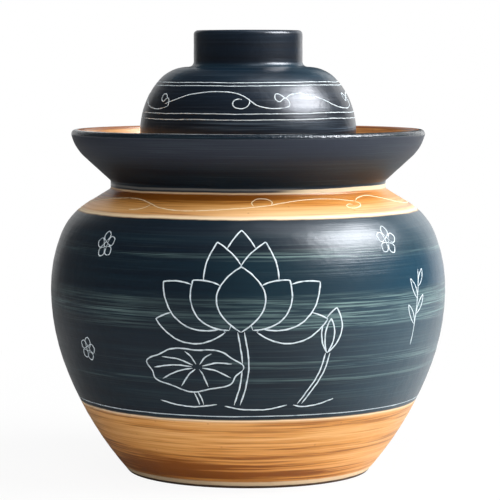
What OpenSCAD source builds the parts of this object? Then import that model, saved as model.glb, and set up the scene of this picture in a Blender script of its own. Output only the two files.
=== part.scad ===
// Glazed stoneware fermentation crock with a water seal.
// The origin is the middle of the foot, on the ground, with +Z up. Lengths are millimetres.

/* [Belly] */
// Width of the crock at its widest ring
belly_d = 241; // [226:1:256]
// Height of the widest ring above the ground
belly_z = 111.6; // [102:0.2:120]
// Width of the foot
foot_d = 149.4; // [142:0.2:158]
// Rise from the widest ring to the waist of the neck
shoulder_h = 60.5; // [55:0.5:66]
// Thickness of the wall
wall = 7.5; // [6:0.5:9]
// Thickness of the floor, from the recess under it
floor_t = 8; // [6:0.5:10]

/* [Foot] */
// Width of the ring that the crock stands on
foot_ring_w = 12; // [9:0.5:15]
// Depth of the recess inside that ring
foot_recess = 2.5; // [1.5:0.5:4]
// Bevel on the outer edge of the foot
foot_edge = 0.9; // [0.6:0.1:2]

/* [Mouth and water moat] */
// Bore of the mouth
mouth_d = 94; // [86:1:102]
// Thickness of the mouth's neck
mouth_wall = 6; // [5:0.5:7]
// Height of the mouth above the rim of the collar
mouth_rise = 3.9; // [2.5:0.1:8]
// Widening of the bore at the top of the mouth
mouth_flare = 2.5; // [1.5:0.5:3]
// Height of that widening
mouth_flare_h = 10; // [8:1:13]
// Rise of the moat's floor above the foot of the collar
moat_rise = 2.1; // [1.5:0.1:4]
// Room between the lid and the neck, in plan
moat_w = 18; // [16:0.2:21]

/* [Collar] */
// Height of the upright waist between the shoulder and the collar
waist_h = 4.8; // [4:0.1:7]
// Height of the collar's rim above the waist
collar_h = 31.2; // [28:0.2:35]
// Distance that the rim stands out beyond the waist
collar_flare = 24.1; // [21:0.1:27]
// Thickness of the collar
collar_wall = 6; // [5:0.5:7]
// Radius of the collar's curve
collar_r = 26.7; // [24:0.1:32]
// Outward lean of the collar at its rim in degrees
collar_lean = 9.9; // [6:0.1:14]

/* [Outer lid] */
// Thickness of the lid
lid_wall = 6; // [5:0.5:7]
// Room between the mouth's neck and the lid around it
lid_room = 6.9; // [6:0.1:8]
// Height of the dome above its straight skirt
dome_h = 39.4; // [36:0.2:43]
// Height that the skirt ends below the mouth
dome_drop = 5.4; // [3:0.2:7]
// Turn of the dome's side before the tighter crown
dome_turn = 40; // [34:1:45]
// Width of the ring knob
knob_d = 66.4; // [60:0.2:72]
// Height of the ring knob above the dome
knob_h = 22; // [18:0.2:26]
// Thickness of the ring knob
knob_wall = 7; // [6:0.5:8]
// Depth of the hollow in the ring knob
knob_hollow = 19; // [14:0.5:19]

/* [Inner lid] */
// Thickness of the inner lid
saucer_t = 5; // [4:0.5:6]
// Depth that its dish hangs into the mouth
dish_h = 8; // [6:0.5:9]
// Room between the dish and the bore
dish_room = 2.5; // [2:0.5:4]
// Width of its button
button_d = 22; // [18:0.5:26]
// Thickness of its button
button_t = 8; // [6:0.5:10]
// Width of the button's stem
stem_d = 14; // [10:0.5:16]
// Room between the button and the dome over it
button_room = 5; // [4:0.5:8]

/* [Pressing weights] */
// Thickness of each half-moon weight
weight_t = 16; // [12:1:20]
// Gap between the two halves
weight_gap = 1; // [0.6:0.2:2]
// Room between the weights and the round edge of the floor
weight_room = 3; // [2:0.5:5]
// Width of the finger hole that the halves share
finger_d = 26; // [22:1:32]

/* [Hidden] */
$fn = 96;

// Gap under each piece that rests on another
seat = 0.2;
// Length and turn of the straight steps along a curve
facet = 2.6;
facet_turn = 22.5;
// Overrun of the cuts
over = 1;

// Curves of the belly, as shares of the one arc that would join the same two rings
low_r_share = 0.87;
low_turn_share = 0.45;
high_r_share = 1.3;
high_turn_share = 0.355;
shoulder_r_share = 0.824;

// Roundings
waist_round = 2;
lip_out = 1.4;
lip_in = 2;
moat_round = 4;
bore_round = 4;
arch_round = 9;
floor_round = 8;
recess_slope = 3;
lid_edge = 1.5;
knob_foot_round = 3;
knob_edge_out = 2.6;
knob_edge_in = 2;
hollow_round = 5;
saucer_edge = 1.6;
saucer_bend = 3;
stem_round = 2.5;
button_round = 2.6;
weight_edge = 3;

// Radii from the middle outwards
bore_r = mouth_d / 2;
mouth_r = bore_r + mouth_wall;
lid_r = mouth_r + lid_room + lid_wall;
neck_r = lid_r + moat_w;
rim_r = neck_r + collar_flare;
belly_r = belly_d / 2;
foot_r = foot_d / 2;

// Heights from the ground up
floor_z = foot_recess + floor_t;
neck_z = belly_z + shoulder_h;
waist_z = neck_z + waist_h;
moat_z = waist_z + moat_rise;
arch_z = moat_z - wall;
rim_z = waist_z + collar_h;
mouth_z = rim_z + mouth_rise;
lid_z = moat_z + seat;
dome_z = mouth_z - dome_drop;
dome_top = dome_z + dome_h;
knob_top = dome_top + knob_h;
saucer_z = mouth_z + seat;

function unit(v) = v / norm(v);
function at(angle) = [cos(angle), sin(angle)];

// Points of the arc about c from angle a to angle b
function arc(c, r, a, b) =
    let (n = max(ceil(abs(b - a) / facet_turn), ceil(abs(b - a) / 360 * 2 * PI * r / facet)))
    [for (i = [0 : n]) c + r * at(a + (b - a) * i / n)];

// Angle at which the line from p touches the circle about c, on the side +1 or -1 of p
function touch(c, r, p, side) =
    let (d = p - c)
    atan2(d[1], d[0]) + side * acos(min(1, r / norm(d)));

// Points that round the corner q on the way from p to s
function rounded(p, q, s, r) =
    let (u = unit(p - q), v = unit(s - q), half = acos(u * v) / 2,
         c = q + unit(u + v) * r / sin(half), start = q + u * r / tan(half) - c,
         a = atan2(start[1], start[0]))
    arc(c, r, a, a - sign(cross(u, v)) * (180 - 2 * half));

// Radius and turn of the one arc that leaves a ring upright and ends dx inward and dz away
function one_arc(dx, dz) = [(dx * dx + dz * dz) / (2 * dx), 2 * atan(dx / dz)];

// Radius of the arc that leaves p, where the outward direction is a, and passes q
function arc_through(p, a, q) = let (d = q - p) -(d * d) / (2 * (d * at(a)));

// Radii of the side and the crown of a dome that is upright at its foot and level at its top
function dome_radii(dx, dz, turn) =
    let (det = (1 - cos(turn)) * (1 - sin(turn)) - cos(turn) * sin(turn))
    [(dx * (1 - sin(turn)) - dz * cos(turn)) / det, (dz * (1 - cos(turn)) - dx * sin(turn)) / det];

// Curves of the belly below the widest ring
low_one = one_arc(belly_r - foot_r, belly_z - foot_edge);
low_r = low_one[0] * low_r_share;
low_turn = low_one[1] * low_turn_share;
low_c = [belly_r - low_r, belly_z];
low_end = low_c + low_r * at(-low_turn);
foot_point = [foot_r, foot_edge];
base_r = arc_through(low_end, -low_turn, foot_point);
base_c = low_end - base_r * at(-low_turn);
foot_turn = asin((base_c[1] - foot_edge) / base_r);

// Curves of the belly above the widest ring, up to the waist of the neck
neck_point = [neck_r, neck_z];
high_one = one_arc(belly_r - neck_r, shoulder_h);
high_r = high_one[0] * high_r_share;
high_turn = high_one[1] * high_turn_share;
high_c = [belly_r - high_r, belly_z];
high_end = high_c + high_r * at(high_turn);
shoulder_r = arc_through(high_end, high_turn, neck_point) * shoulder_r_share;
shoulder_c = high_end - shoulder_r * at(high_turn);
shoulder_turn = touch(shoulder_c, shoulder_r, neck_point, -1);
shoulder_end = shoulder_c + shoulder_r * at(shoulder_turn);

// Curve of the collar, which rises from the waist and ends in a lip with two rounded edges
waist_point = [neck_r, waist_z];
lip_out_c = [rim_r - lip_out, rim_z - lip_out];
collar_c = lip_out_c - (collar_r - lip_out) * at(-collar_lean);
collar_turn = touch(collar_c, collar_r, waist_point, 1);
collar_end = collar_c + collar_r * at(collar_turn);

// Moat side of the collar, which runs even with its outside
moat_side_r = collar_r - collar_wall;
moat_side_lean = asin((collar_c[1] - rim_z + lip_in) / (moat_side_r + lip_in));
lip_in_c = collar_c + (moat_side_r + lip_in) * at(-moat_side_lean);
moat_end = collar_c + moat_side_r * at(collar_turn);
moat_corner = moat_end + (waist_point - collar_end) * (moat_end[1] - moat_z) / (collar_end[1] - waist_z);

// Inside of the shoulder, up to the level arch that carries the moat
arch_corner = [moat_corner[0] - wall, arch_z];
arch_turn = touch(shoulder_c, shoulder_r - wall, arch_corner, -1);
arch_end = shoulder_c + (shoulder_r - wall) * at(arch_turn);

// Rounding between the inside of the wall and the floor
floor_turn = asin((base_c[1] - floor_z - floor_round) / (base_r - wall - floor_round));
floor_c = base_c + (base_r - wall - floor_round) * at(-floor_turn);
floor_flat_r = floor_c[0];

function foot_outline() = [
    [0, foot_recess],
    [foot_r - foot_ring_w - recess_slope, foot_recess],
    [foot_r - foot_ring_w, 0],
    [foot_r - foot_edge, 0]
];

function belly_outline() = concat(
    arc(base_c, base_r, -foot_turn, -low_turn),
    arc(low_c, low_r, -low_turn, 0),
    arc(high_c, high_r, 0, high_turn),
    arc(shoulder_c, shoulder_r, high_turn, shoulder_turn)
);

function collar_outline() = concat(
    rounded(shoulder_end, neck_point, waist_point, waist_round),
    rounded(neck_point, waist_point, collar_end, waist_round),
    arc(collar_c, collar_r, collar_turn, -collar_lean),
    arc(lip_out_c, lip_out, -collar_lean, 90),
    arc(lip_in_c, lip_in, 90, 180 - moat_side_lean),
    arc(collar_c, moat_side_r, -moat_side_lean, collar_turn)
);

function moat_outline() = concat(
    rounded(moat_end, moat_corner, [mouth_r, moat_z], moat_round),
    rounded(moat_corner, [mouth_r, moat_z], [mouth_r, mouth_z], moat_round)
);

function mouth_outline() =
    let (lip = (mouth_wall - mouth_flare) / 2)
    concat(
        arc([mouth_r - lip, mouth_z - lip], lip, 0, 180),
        [[bore_r, mouth_z - mouth_flare_h]],
        rounded([bore_r, mouth_z], [bore_r, arch_z], arch_corner, bore_round)
    );

function inside_outline() = concat(
    rounded([bore_r, arch_z], arch_corner, arch_end, arch_round),
    arc(shoulder_c, shoulder_r - wall, arch_turn, high_turn),
    arc(high_c, high_r - wall, high_turn, 0),
    arc(low_c, low_r - wall, 0, -low_turn),
    arc(base_c, base_r - wall, -low_turn, -floor_turn),
    arc(floor_c, floor_round, -floor_turn, -90),
    [[0, floor_z]]
);

// Thrown and fired shell: foot, belly, neck, water moat, collar and mouth are one piece of clay
module crock_body() {
    color([0.09, 0.11, 0.17])
        rotate_extrude()
            polygon(concat(foot_outline(), belly_outline(), collar_outline(), moat_outline(),
                           mouth_outline(), inside_outline()));
}

// Inverted bowl that stands in the moat over the mouth, with a hollow ring knob
module outer_lid() {
    knob_r = knob_d / 2;
    crown_r = knob_r + knob_foot_round;
    radii = dome_radii(lid_r - crown_r, dome_h, dome_turn);
    side_c = [lid_r - radii[0], dome_z];
    crown_c = side_c + (radii[0] - radii[1]) * at(dome_turn);
    hollow_r = knob_r - knob_wall;
    hollow_z = knob_top - knob_hollow;
    under_z = dome_top - lid_wall;
    color([0.10, 0.12, 0.20])
        rotate_extrude()
            polygon(concat(
                arc([lid_r - lid_edge, lid_z + lid_edge], lid_edge, -90, 0),
                arc(side_c, radii[0], 0, dome_turn),
                arc(crown_c, radii[1], dome_turn, 90),
                rounded([lid_r, dome_top], [knob_r, dome_top], [knob_r, knob_top], knob_foot_round),
                arc([knob_r - knob_edge_out, knob_top - knob_edge_out], knob_edge_out, 0, 90),
                arc([hollow_r + knob_edge_in, knob_top - knob_edge_in], knob_edge_in, 90, 180),
                rounded([hollow_r, knob_top], [hollow_r, hollow_z], [0, hollow_z], hollow_round),
                [[0, hollow_z], [0, under_z]],
                arc(crown_c, radii[1] - lid_wall, 90, dome_turn),
                arc(side_c, radii[0] - lid_wall, dome_turn, 0),
                arc([lid_r - lid_wall + lid_edge, lid_z + lid_edge], lid_edge, 180, 270)
            ));
}

// Saucer that closes the mouth, with a dish that hangs into it and a button to lift it by
module inner_lid() {
    edge_r = mouth_r - saucer_edge / 2;
    dish_r = bore_r - dish_room;
    slope_w = dish_h;
    dish_z = saucer_z - dish_h;
    flange_top = saucer_z + saucer_t;
    dish_top = dish_z + saucer_t;
    button_r = button_d / 2;
    stem_r = stem_d / 2;
    button_top = dome_top - lid_wall - button_room;
    button_z = button_top - button_t;
    bend = saucer_t * tan(atan2(dish_h, slope_w) / 2);
    color([0.34, 0.22, 0.13])
        rotate_extrude()
            polygon(concat(
                [[0, dish_z]],
                rounded([0, dish_z], [dish_r - slope_w, dish_z], [dish_r, saucer_z], saucer_bend),
                [[dish_r, saucer_z]],
                arc([edge_r - saucer_edge, saucer_z + saucer_edge], saucer_edge, -90, 0),
                arc([edge_r - saucer_edge, flange_top - saucer_edge], saucer_edge, 0, 90),
                [[dish_r - bend, flange_top]],
                rounded([dish_r - bend, flange_top], [dish_r - slope_w - bend, dish_top],
                        [stem_r, dish_top], saucer_bend),
                rounded([dish_r, dish_top], [stem_r, dish_top], [stem_r, button_z], stem_round),
                rounded([stem_r, dish_top], [stem_r, button_z], [button_r, button_z], stem_round / 2),
                arc([button_r - button_round, button_z + button_round], button_round, -90, 0),
                arc([button_r - button_round, button_top - button_round], button_round, 0, 90),
                [[0, button_top]]
            ));
}

// Half of the round plate that keeps the food under the brine, on the side +1 or -1 of X
module weight_half(side) {
    weight_r = floor_flat_r - weight_room;
    weight_z = floor_z + seat;
    color([0.62, 0.50, 0.38])
        difference() {
            rotate_extrude()
                polygon(concat(
                    [[0, weight_z]],
                    arc([weight_r - weight_edge, weight_z + weight_edge], weight_edge, -90, 0),
                    arc([weight_r - weight_edge, weight_z + weight_t - weight_edge], weight_edge, 0, 90),
                    [[0, weight_z + weight_t]]
                ));
            translate([0, 0, weight_z - over])
                cylinder(d = finger_d, h = weight_t + 2 * over);
            translate([side > 0 ? -weight_r - over : -weight_gap / 2, -weight_r - over, weight_z - over])
                cube([weight_r + over + weight_gap / 2, 2 * (weight_r + over), weight_t + 2 * over]);
        }
}

module weight_half_left() {
    weight_half(-1);
}

module weight_half_right() {
    weight_half(1);
}

crock_body();
outer_lid();
inner_lid();
weight_half_left();
weight_half_right();
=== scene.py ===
"""Looks of a glazed stoneware fermentation crock with a water seal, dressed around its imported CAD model.

Drawings are in millimetres, as a potter's are, and become metres where a mesh is made. The origin is
the middle of the foot, on the ground, with +Z up. The photograph looks along +Y.
"""

import logging
import math
from dataclasses import dataclass, field
from enum import Enum
from functools import cache
from typing import NamedTuple

import bpy
import numpy as np
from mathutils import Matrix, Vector


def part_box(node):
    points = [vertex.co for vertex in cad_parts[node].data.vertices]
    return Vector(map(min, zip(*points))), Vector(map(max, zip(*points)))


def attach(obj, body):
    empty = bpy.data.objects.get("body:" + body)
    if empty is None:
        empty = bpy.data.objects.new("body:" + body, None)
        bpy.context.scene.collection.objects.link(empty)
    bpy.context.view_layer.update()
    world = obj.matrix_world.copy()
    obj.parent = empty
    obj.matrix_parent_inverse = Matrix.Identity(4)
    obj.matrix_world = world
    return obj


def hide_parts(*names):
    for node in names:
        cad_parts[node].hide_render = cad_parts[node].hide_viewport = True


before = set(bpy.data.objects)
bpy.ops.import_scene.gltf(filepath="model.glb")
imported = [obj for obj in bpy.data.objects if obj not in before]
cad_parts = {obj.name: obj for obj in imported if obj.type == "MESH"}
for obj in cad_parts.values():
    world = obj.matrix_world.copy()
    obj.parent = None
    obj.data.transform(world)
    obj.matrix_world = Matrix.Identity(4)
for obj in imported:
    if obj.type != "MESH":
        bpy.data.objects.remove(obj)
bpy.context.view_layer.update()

LOG = logging.getLogger("fermentation_crock")
MM = 0.001
TAU = 2 * math.pi
Colour = tuple[float, float, float, float]
WHITE: Colour = (1.0, 1.0, 1.0, 1.0)
Spot = np.ndarray | tuple[float, float]
Socket = bpy.types.NodeSocket
Value = float | Socket


class Body(Enum):
    """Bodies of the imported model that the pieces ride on."""

    CROCK = "crock"
    OUTER_LID = "outer_lid"
    INNER_LID = "inner_lid"
    LEFT_WEIGHT = "left_weight"
    RIGHT_WEIGHT = "right_weight"


class Slot(Enum):
    """Material slots of the record."""

    DARK_GLAZE = "dark_glaze"
    LID_GLAZE = "lid_glaze"
    BROWN_GLAZE = "brown_glaze"
    BARE_STONEWARE = "bare_stoneware"
    INCISED_LINE = "incised_line"


class Zone(Enum):
    """Stretches of a thrown outline that are glazed as one."""

    OUTSIDE = 0
    MOAT = 1
    INSIDE = 2
    COLLAR = 3


# Lengths and turns of the straight steps of a drawn curve
CURVE_STEP = 1.3
CURVE_TURN = 9.0
# Distance under which two points of an outline are one
SAME_SPOT = 0.01
# Steps of a scratched line: along it, between two points that a smooth line runs through, and in a petal's side
LINE_STEP = 0.8
SPAN_STEPS = 16
PETAL_STEPS = 40
# Fewest points that a line has once they are spaced evenly
LEAST_POINTS = 4
# Steps at which overlapping shapes are compared, and the most of them that a line too short to draw has
HIDE_STEP = 0.4
STUB_STEPS = 4


def polar(angle: float) -> np.ndarray:
    """Returns the unit vector at an angle in degrees."""
    return np.array([math.cos(math.radians(angle)), math.sin(math.radians(angle))])


def unit(vector: np.ndarray) -> np.ndarray:
    """Returns the vector at length one."""
    return vector / np.linalg.norm(vector)


def angle_of(vector: np.ndarray) -> float:
    """Returns the direction of a vector in degrees."""
    return math.degrees(math.atan2(vector[1], vector[0]))


def arc(centre: np.ndarray, radius: float, start: float, end: float) -> list[np.ndarray]:
    """Draws an arc.

    Args:
        centre: Its centre.
        radius: Its radius.
        start: Angle of its first point in degrees.
        end: Angle of its last point in degrees.

    Returns:
        Its points.
    """
    length = math.radians(abs(end - start)) * abs(radius)
    count = max(1, math.ceil(abs(end - start) / CURVE_TURN), math.ceil(length / CURVE_STEP))
    return [centre + radius * polar(start + (end - start) * i / count) for i in range(count + 1)]


def touch(centre: np.ndarray, radius: float, point: np.ndarray, side: int) -> float:
    """Returns the angle in degrees where the line from a point touches a circle; side is +1 or -1."""
    away = point - centre
    return angle_of(away) + side * math.degrees(math.acos(min(1.0, radius / np.linalg.norm(away))))


def rounded(before: Spot, corner: Spot, after: Spot, radius: float) -> list[np.ndarray]:
    """Rounds a corner.

    Args:
        before: A point on the line that comes to the corner.
        corner: The corner.
        after: A point on the line that leaves it.
        radius: Radius of the rounding.

    Returns:
        The points of the rounding.
    """
    before, corner, after = (np.array(p, float) for p in (before, corner, after))
    u, v = unit(before - corner), unit(after - corner)
    half = math.acos(float(u @ v)) / 2
    centre = corner + unit(u + v) * radius / math.sin(half)
    start = angle_of(corner + u * radius / math.tan(half) - centre)
    turn = math.copysign(180 - 2 * math.degrees(half), u[0] * v[1] - u[1] * v[0])
    return arc(centre, radius, start, start - turn)


def arc_through(point: np.ndarray, outward: float, end: np.ndarray) -> float:
    """Returns the radius of the arc from a point to an end, by its outward degrees at the point."""
    step = end - point
    return -float(step @ step) / (2 * float(step @ polar(outward)))


def dome_radii(width: float, height: float, turn: float) -> tuple[float, float]:
    """Finds the two radii of a dome that is upright at its foot and level at its top.

    Args:
        width: Distance that it draws in.
        height: Its height.
        turn: Turn of its side before the crown in degrees.

    Returns:
        The radius of the side and of the crown.
    """
    c, s = math.cos(math.radians(turn)), math.sin(math.radians(turn))
    det = (1 - c) * (1 - s) - c * s
    return (width * (1 - s) - height * c) / det, (height * (1 - c) - width * s) / det


def smooth(value: np.ndarray) -> np.ndarray:
    """Returns the smooth step of values from 0 to 1."""
    value = np.clip(value, 0, 1)
    return value * value * (3 - 2 * value)


@dataclass(frozen=True)
class Groove:
    """A ring that is turned into the clay.

    Attributes:
        height: Height of its middle.
        width: Its width.
        depth: Its depth.
        flat: Share of its width that is flat at the bottom.
        lined: Whether pale clay shows in it as a line of its own.
    """

    height: float
    width: float
    depth: float
    flat: float = 0.0
    lined: bool = True


@dataclass
class TurnedForm:
    """A form thrown on the wheel: an outline of radius and height turned about Z, with the clay on its left.

    Attributes:
        runs: Stretches of the outline with the zone of each.
        grooves: Rings turned into its outside.
        skin: Least depth of the thrown surface inside the drawn one.
        ridge: Further depth that the throwing rings reach.
        wander: Distance that a ring drawn by hand strays up and down.
        start_depth: Length of the outline that keeps the drawn surface.
        seed: Number of its own that sets its unevenness.
        points: Radius and height of each point of the outline.
        zones: The zone that starts at each point.
        alongs: Length along the outline of each point.
        normals: Outward direction at each point.
    """

    runs: list[tuple[Zone, list]]
    grooves: tuple[Groove, ...] = ()
    skin: float = 0.1
    ridge: float = 0.1
    wander: float = 0.3
    start_depth: float = 0.0
    seed: int = 1
    # Share, length and sway of the fine and the broad rings of the fingers
    finger_rings: tuple = ((0.5, 8.7, 0.9), (0.3, 19.3, 0.7))
    # Share and length of the squeeze that makes it slightly oval
    squeeze: tuple = (0.2, 61.0)
    # Turns round the wheel, share and twist of each way that the hand strays
    strays: tuple = ((2, 1.0, 0.0), (5, 0.6, 0.025), (9, 0.4, 0.0))
    # Lengths along the outline over which the depth and the straying come in
    depth_ease: float = 3.0
    stray_ease: float = 15.0
    # Half widths of a groove out to which it is clear of other rows, and to its outermost row
    groove_clear: float = 1.4
    groove_edge: float = 1.35
    # Least distance between two rows of the mesh
    row_gap: float = 0.02
    points: np.ndarray = field(init=False)
    zones: list[Zone] = field(init=False)
    alongs: np.ndarray = field(init=False)
    normals: np.ndarray = field(init=False)

    def __post_init__(self) -> None:
        """Joins the runs into one outline and measures it."""
        points, zones = [], []
        for zone, run in self.runs:
            for point in (np.array(p, float) for p in run):
                if points and np.linalg.norm(point - points[-1]) < SAME_SPOT:
                    zones[-1] = zone
                    continue
                if points:
                    start, gap = points[-1], point - points[-1]
                    extra = int(np.linalg.norm(gap) // (2 * CURVE_STEP))
                    for i in range(1, extra + 1):
                        points.append(start + gap * i / (extra + 1))
                        zones.append(zones[-1])
                points.append(point)
                zones.append(zone)
        self.points, self.zones = np.array(points), zones
        steps = np.linalg.norm(np.diff(self.points, axis=0), axis=1)
        self.alongs = np.concatenate([[0], np.cumsum(steps)])
        tangents = np.gradient(self.points, self.alongs, axis=0)
        tangents /= np.linalg.norm(tangents, axis=1)[:, None]
        self.normals = np.stack([tangents[:, 1], -tangents[:, 0]], axis=1)
        # Two for each ring of the fingers, two for the squeeze and one for each stray
        self.phases = np.random.RandomState(self.seed).uniform(0, TAU, 9)
        outside = [i for i, zone in enumerate(self.zones) if zone is Zone.OUTSIDE]
        top = max(outside, key=lambda i: self.points[i, 1])
        self.climb = [i for i in outside if i <= top and self.alongs[i] >= self.start_depth]

    def along_of(self, height: np.ndarray | float) -> np.ndarray:
        """Returns the length along the outline at which its outside reaches a height."""
        return np.interp(height, self.points[self.climb, 1], self.alongs[self.climb])

    def radius_at(self, along: np.ndarray | float) -> np.ndarray:
        """Returns the drawn radius at a length along the outline."""
        return np.interp(along, self.alongs, self.points[:, 0])

    def height_at(self, along: np.ndarray | float) -> np.ndarray:
        """Returns the drawn height at a length along the outline."""
        return np.interp(along, self.alongs, self.points[:, 1])

    def depth(self, turn: np.ndarray, along: np.ndarray) -> np.ndarray:
        """Measures how far the thrown surface lies inside the drawn one.

        Args:
            turn: Angles round the wheel in radians.
            along: Lengths along the outline.

        Returns:
            The depths.
        """
        p, (squeeze, length) = self.phases, self.squeeze
        rings = squeeze * np.sin(2 * turn + p[4]) * np.sin(along * TAU / length + p[5])
        for i, (share, length, sway) in enumerate(self.finger_rings):
            swayed = sway * np.sin((i + 1) * turn + p[2 * i + 1])
            rings = rings + share * np.sin(along * TAU / length + p[2 * i] + swayed)
        depth = self.skin + self.ridge * (1 + rings) / 2
        for groove in self.grooves:
            away = np.abs(along - self.along_of(groove.height)) / (groove.width / 2)
            depth = depth + groove.depth * smooth((1 - away) / (1 - groove.flat))
        if self.start_depth:
            depth = depth * smooth((along - self.start_depth) / self.depth_ease)
        return depth

    def place(self, turn: np.ndarray, along: np.ndarray, lift: np.ndarray | float = 0.0) -> np.ndarray:
        """Finds points of the thrown surface.

        Args:
            turn: Angles round the wheel in radians, from the front towards +X.
            along: Lengths along the outline.
            lift: Heights above the surface.

        Returns:
            The points in metres, one row each.
        """
        end = self.alongs[-1]
        waves = zip(self.strays, self.phases[6:])
        stray = sum(share * np.sin(turns * turn + phase + along * twist) for (turns, share, twist), phase in waves)
        ease = smooth(np.minimum(along - self.start_depth, end - along) / self.stray_ease)
        slid = np.clip(along + stray * ease * self.wander / 2, 0, end)
        normal = np.stack([np.interp(slid, self.alongs, self.normals[:, i]) for i in (0, 1)], axis=-1)
        normal /= np.linalg.norm(normal, axis=-1, keepdims=True)
        out = lift - self.depth(turn, along)
        radius = np.maximum(self.radius_at(slid) + normal[..., 0] * out, 0)
        height = self.height_at(slid) + normal[..., 1] * out
        return np.stack([radius * np.sin(turn), -radius * np.cos(turn), height], axis=-1) * MM

    def rows(self) -> np.ndarray:
        """Spaces the rings of points of the mesh, closer together in the grooves.

        Returns:
            Their lengths along the outline.
        """
        rows = list(self.alongs)
        for groove in self.grooves:
            middle, half = float(self.along_of(groove.height)), groove.width / 2
            rows = [row for row in rows if abs(row - middle) > half * self.groove_clear]
            flat = half * groove.flat
            steps = (half * self.groove_edge, half, (half + flat) / 2, flat)
            rows += [middle, *(middle + side * step for side in (-1, 1) for step in steps)]
        rows.sort()
        kept = [rows[0]]
        for row in rows[1:]:
            if row - kept[-1] > self.row_gap:
                kept.append(row)
        return np.array(kept)

    def build(self, name: str, segments: int = 256) -> bpy.types.Object:
        """Turns the outline into a closed mesh.

        Args:
            name: Name of the piece.
            segments: Number of steps round the wheel.

        Returns:
            The piece, with a point attribute that holds the drawn height in millimetres.
        """
        rows = self.rows()
        turns = np.arange(segments) * TAU / segments
        points, first, heights = [], [], []
        count = 0
        for row in rows:
            lone = self.radius_at(row) < SAME_SPOT
            ring = turns[:1] if lone else turns
            placed = self.place(ring, np.full(len(ring), row))
            if lone:
                placed[:, :2] = 0
            points.append(placed)
            heights.append(np.full(len(ring), self.height_at(row)))
            first.append((count, lone))
            count += len(ring)
        faces, materials = [], []
        for k in range(len(rows) - 1):
            zone = self.zones[int(np.searchsorted(self.alongs, rows[k] + SAME_SPOT, side="right")) - 1]
            materials += [zone.value] * segments
            (low, low_lone), (high, high_lone) = first[k], first[k + 1]
            for j in range(segments):
                n = (j + 1) % segments
                if low_lone:
                    face = (low, high + n, high + j)
                elif high_lone:
                    face = (low + j, low + n, high)
                else:
                    face = (low + j, low + n, high + n, high + j)
                faces.append(face)
        piece = mesh_piece(name, np.concatenate(points), faces)
        piece.data.polygons.foreach_set("material_index", materials)
        drawn = piece.data.attributes.new("drawn_height", "FLOAT", "POINT")
        drawn.data.foreach_set("value", np.concatenate(heights).astype(np.float32))
        return piece


def mesh_piece(name: str, points: np.ndarray, faces: list) -> bpy.types.Object:
    """Makes an object from points and faces.

    Args:
        name: Name of the piece.
        points: Its points in metres.
        faces: The point numbers of each face.

    Returns:
        The piece, shaded smooth.
    """
    mesh = bpy.data.meshes.new(name)
    mesh.from_pydata([tuple(p) for p in points], [], faces)
    mesh.polygons.foreach_set("use_smooth", [True] * len(mesh.polygons))
    mesh.update()
    piece = bpy.data.objects.new(name, mesh)
    bpy.context.scene.collection.objects.link(piece)
    return piece


def dress(piece: bpy.types.Object, finishes: tuple, body: Body, nodes: tuple[str, ...] = ()) -> None:
    """Gives a piece its finishes and its place in the frame.

    Args:
        piece: The piece.
        finishes: Its finishes in the order of the mesh's material numbers.
        body: The body that it rides on.
        nodes: The CAD nodes that it stands for.
    """
    for finish in finishes:
        piece.data.materials.append(finish.material())
    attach(piece, body.value)
    if nodes:
        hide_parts(*nodes)
    LOG.info("%s: %d faces on %s", piece.name, len(piece.data.polygons), body.value)


def spline(points: list[Spot]) -> np.ndarray:
    """Runs a smooth line through points.

    Args:
        points: The points, three or more.

    Returns:
        Points of the line at even distances.
    """
    given = np.array(points, float)
    around = np.concatenate([[2 * given[0] - given[1]], given, [2 * given[-1] - given[-2]]])
    t = np.linspace(0, 1, SPAN_STEPS, endpoint=False)[:, None]
    spans = [
        0.5 * (2 * b + (c - a) * t + (2 * a - 5 * b + 4 * c - d) * t**2 + (3 * b - a - 3 * c + d) * t**3)
        for a, b, c, d in zip(around, around[1:], around[2:], around[3:])
    ]
    return even(np.concatenate([*spans, given[-1:]]), LINE_STEP)


def even(line: np.ndarray, step: float) -> np.ndarray:
    """Spaces the points of a line evenly.

    Args:
        line: The line.
        step: About how far apart its points come.

    Returns:
        The line with its new points.
    """
    lengths = np.concatenate([[0], np.cumsum(np.linalg.norm(np.diff(line, axis=0), axis=1))])
    marks = np.linspace(0, lengths[-1], max(LEAST_POINTS, int(lengths[-1] / step) + 1))
    return np.stack([np.interp(marks, lengths, line[:, i]) for i in (0, 1)], axis=1)


def bezier(a: np.ndarray, b: np.ndarray, c: np.ndarray, d: np.ndarray) -> np.ndarray:
    """Returns points of the curve from a to d that leaves towards b and comes from c."""
    t = np.linspace(0, 1, PETAL_STEPS)[:, None]
    return a * (1 - t) ** 3 + 3 * b * t * (1 - t) ** 2 + 3 * c * t**2 * (1 - t) + d * t**3


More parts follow.
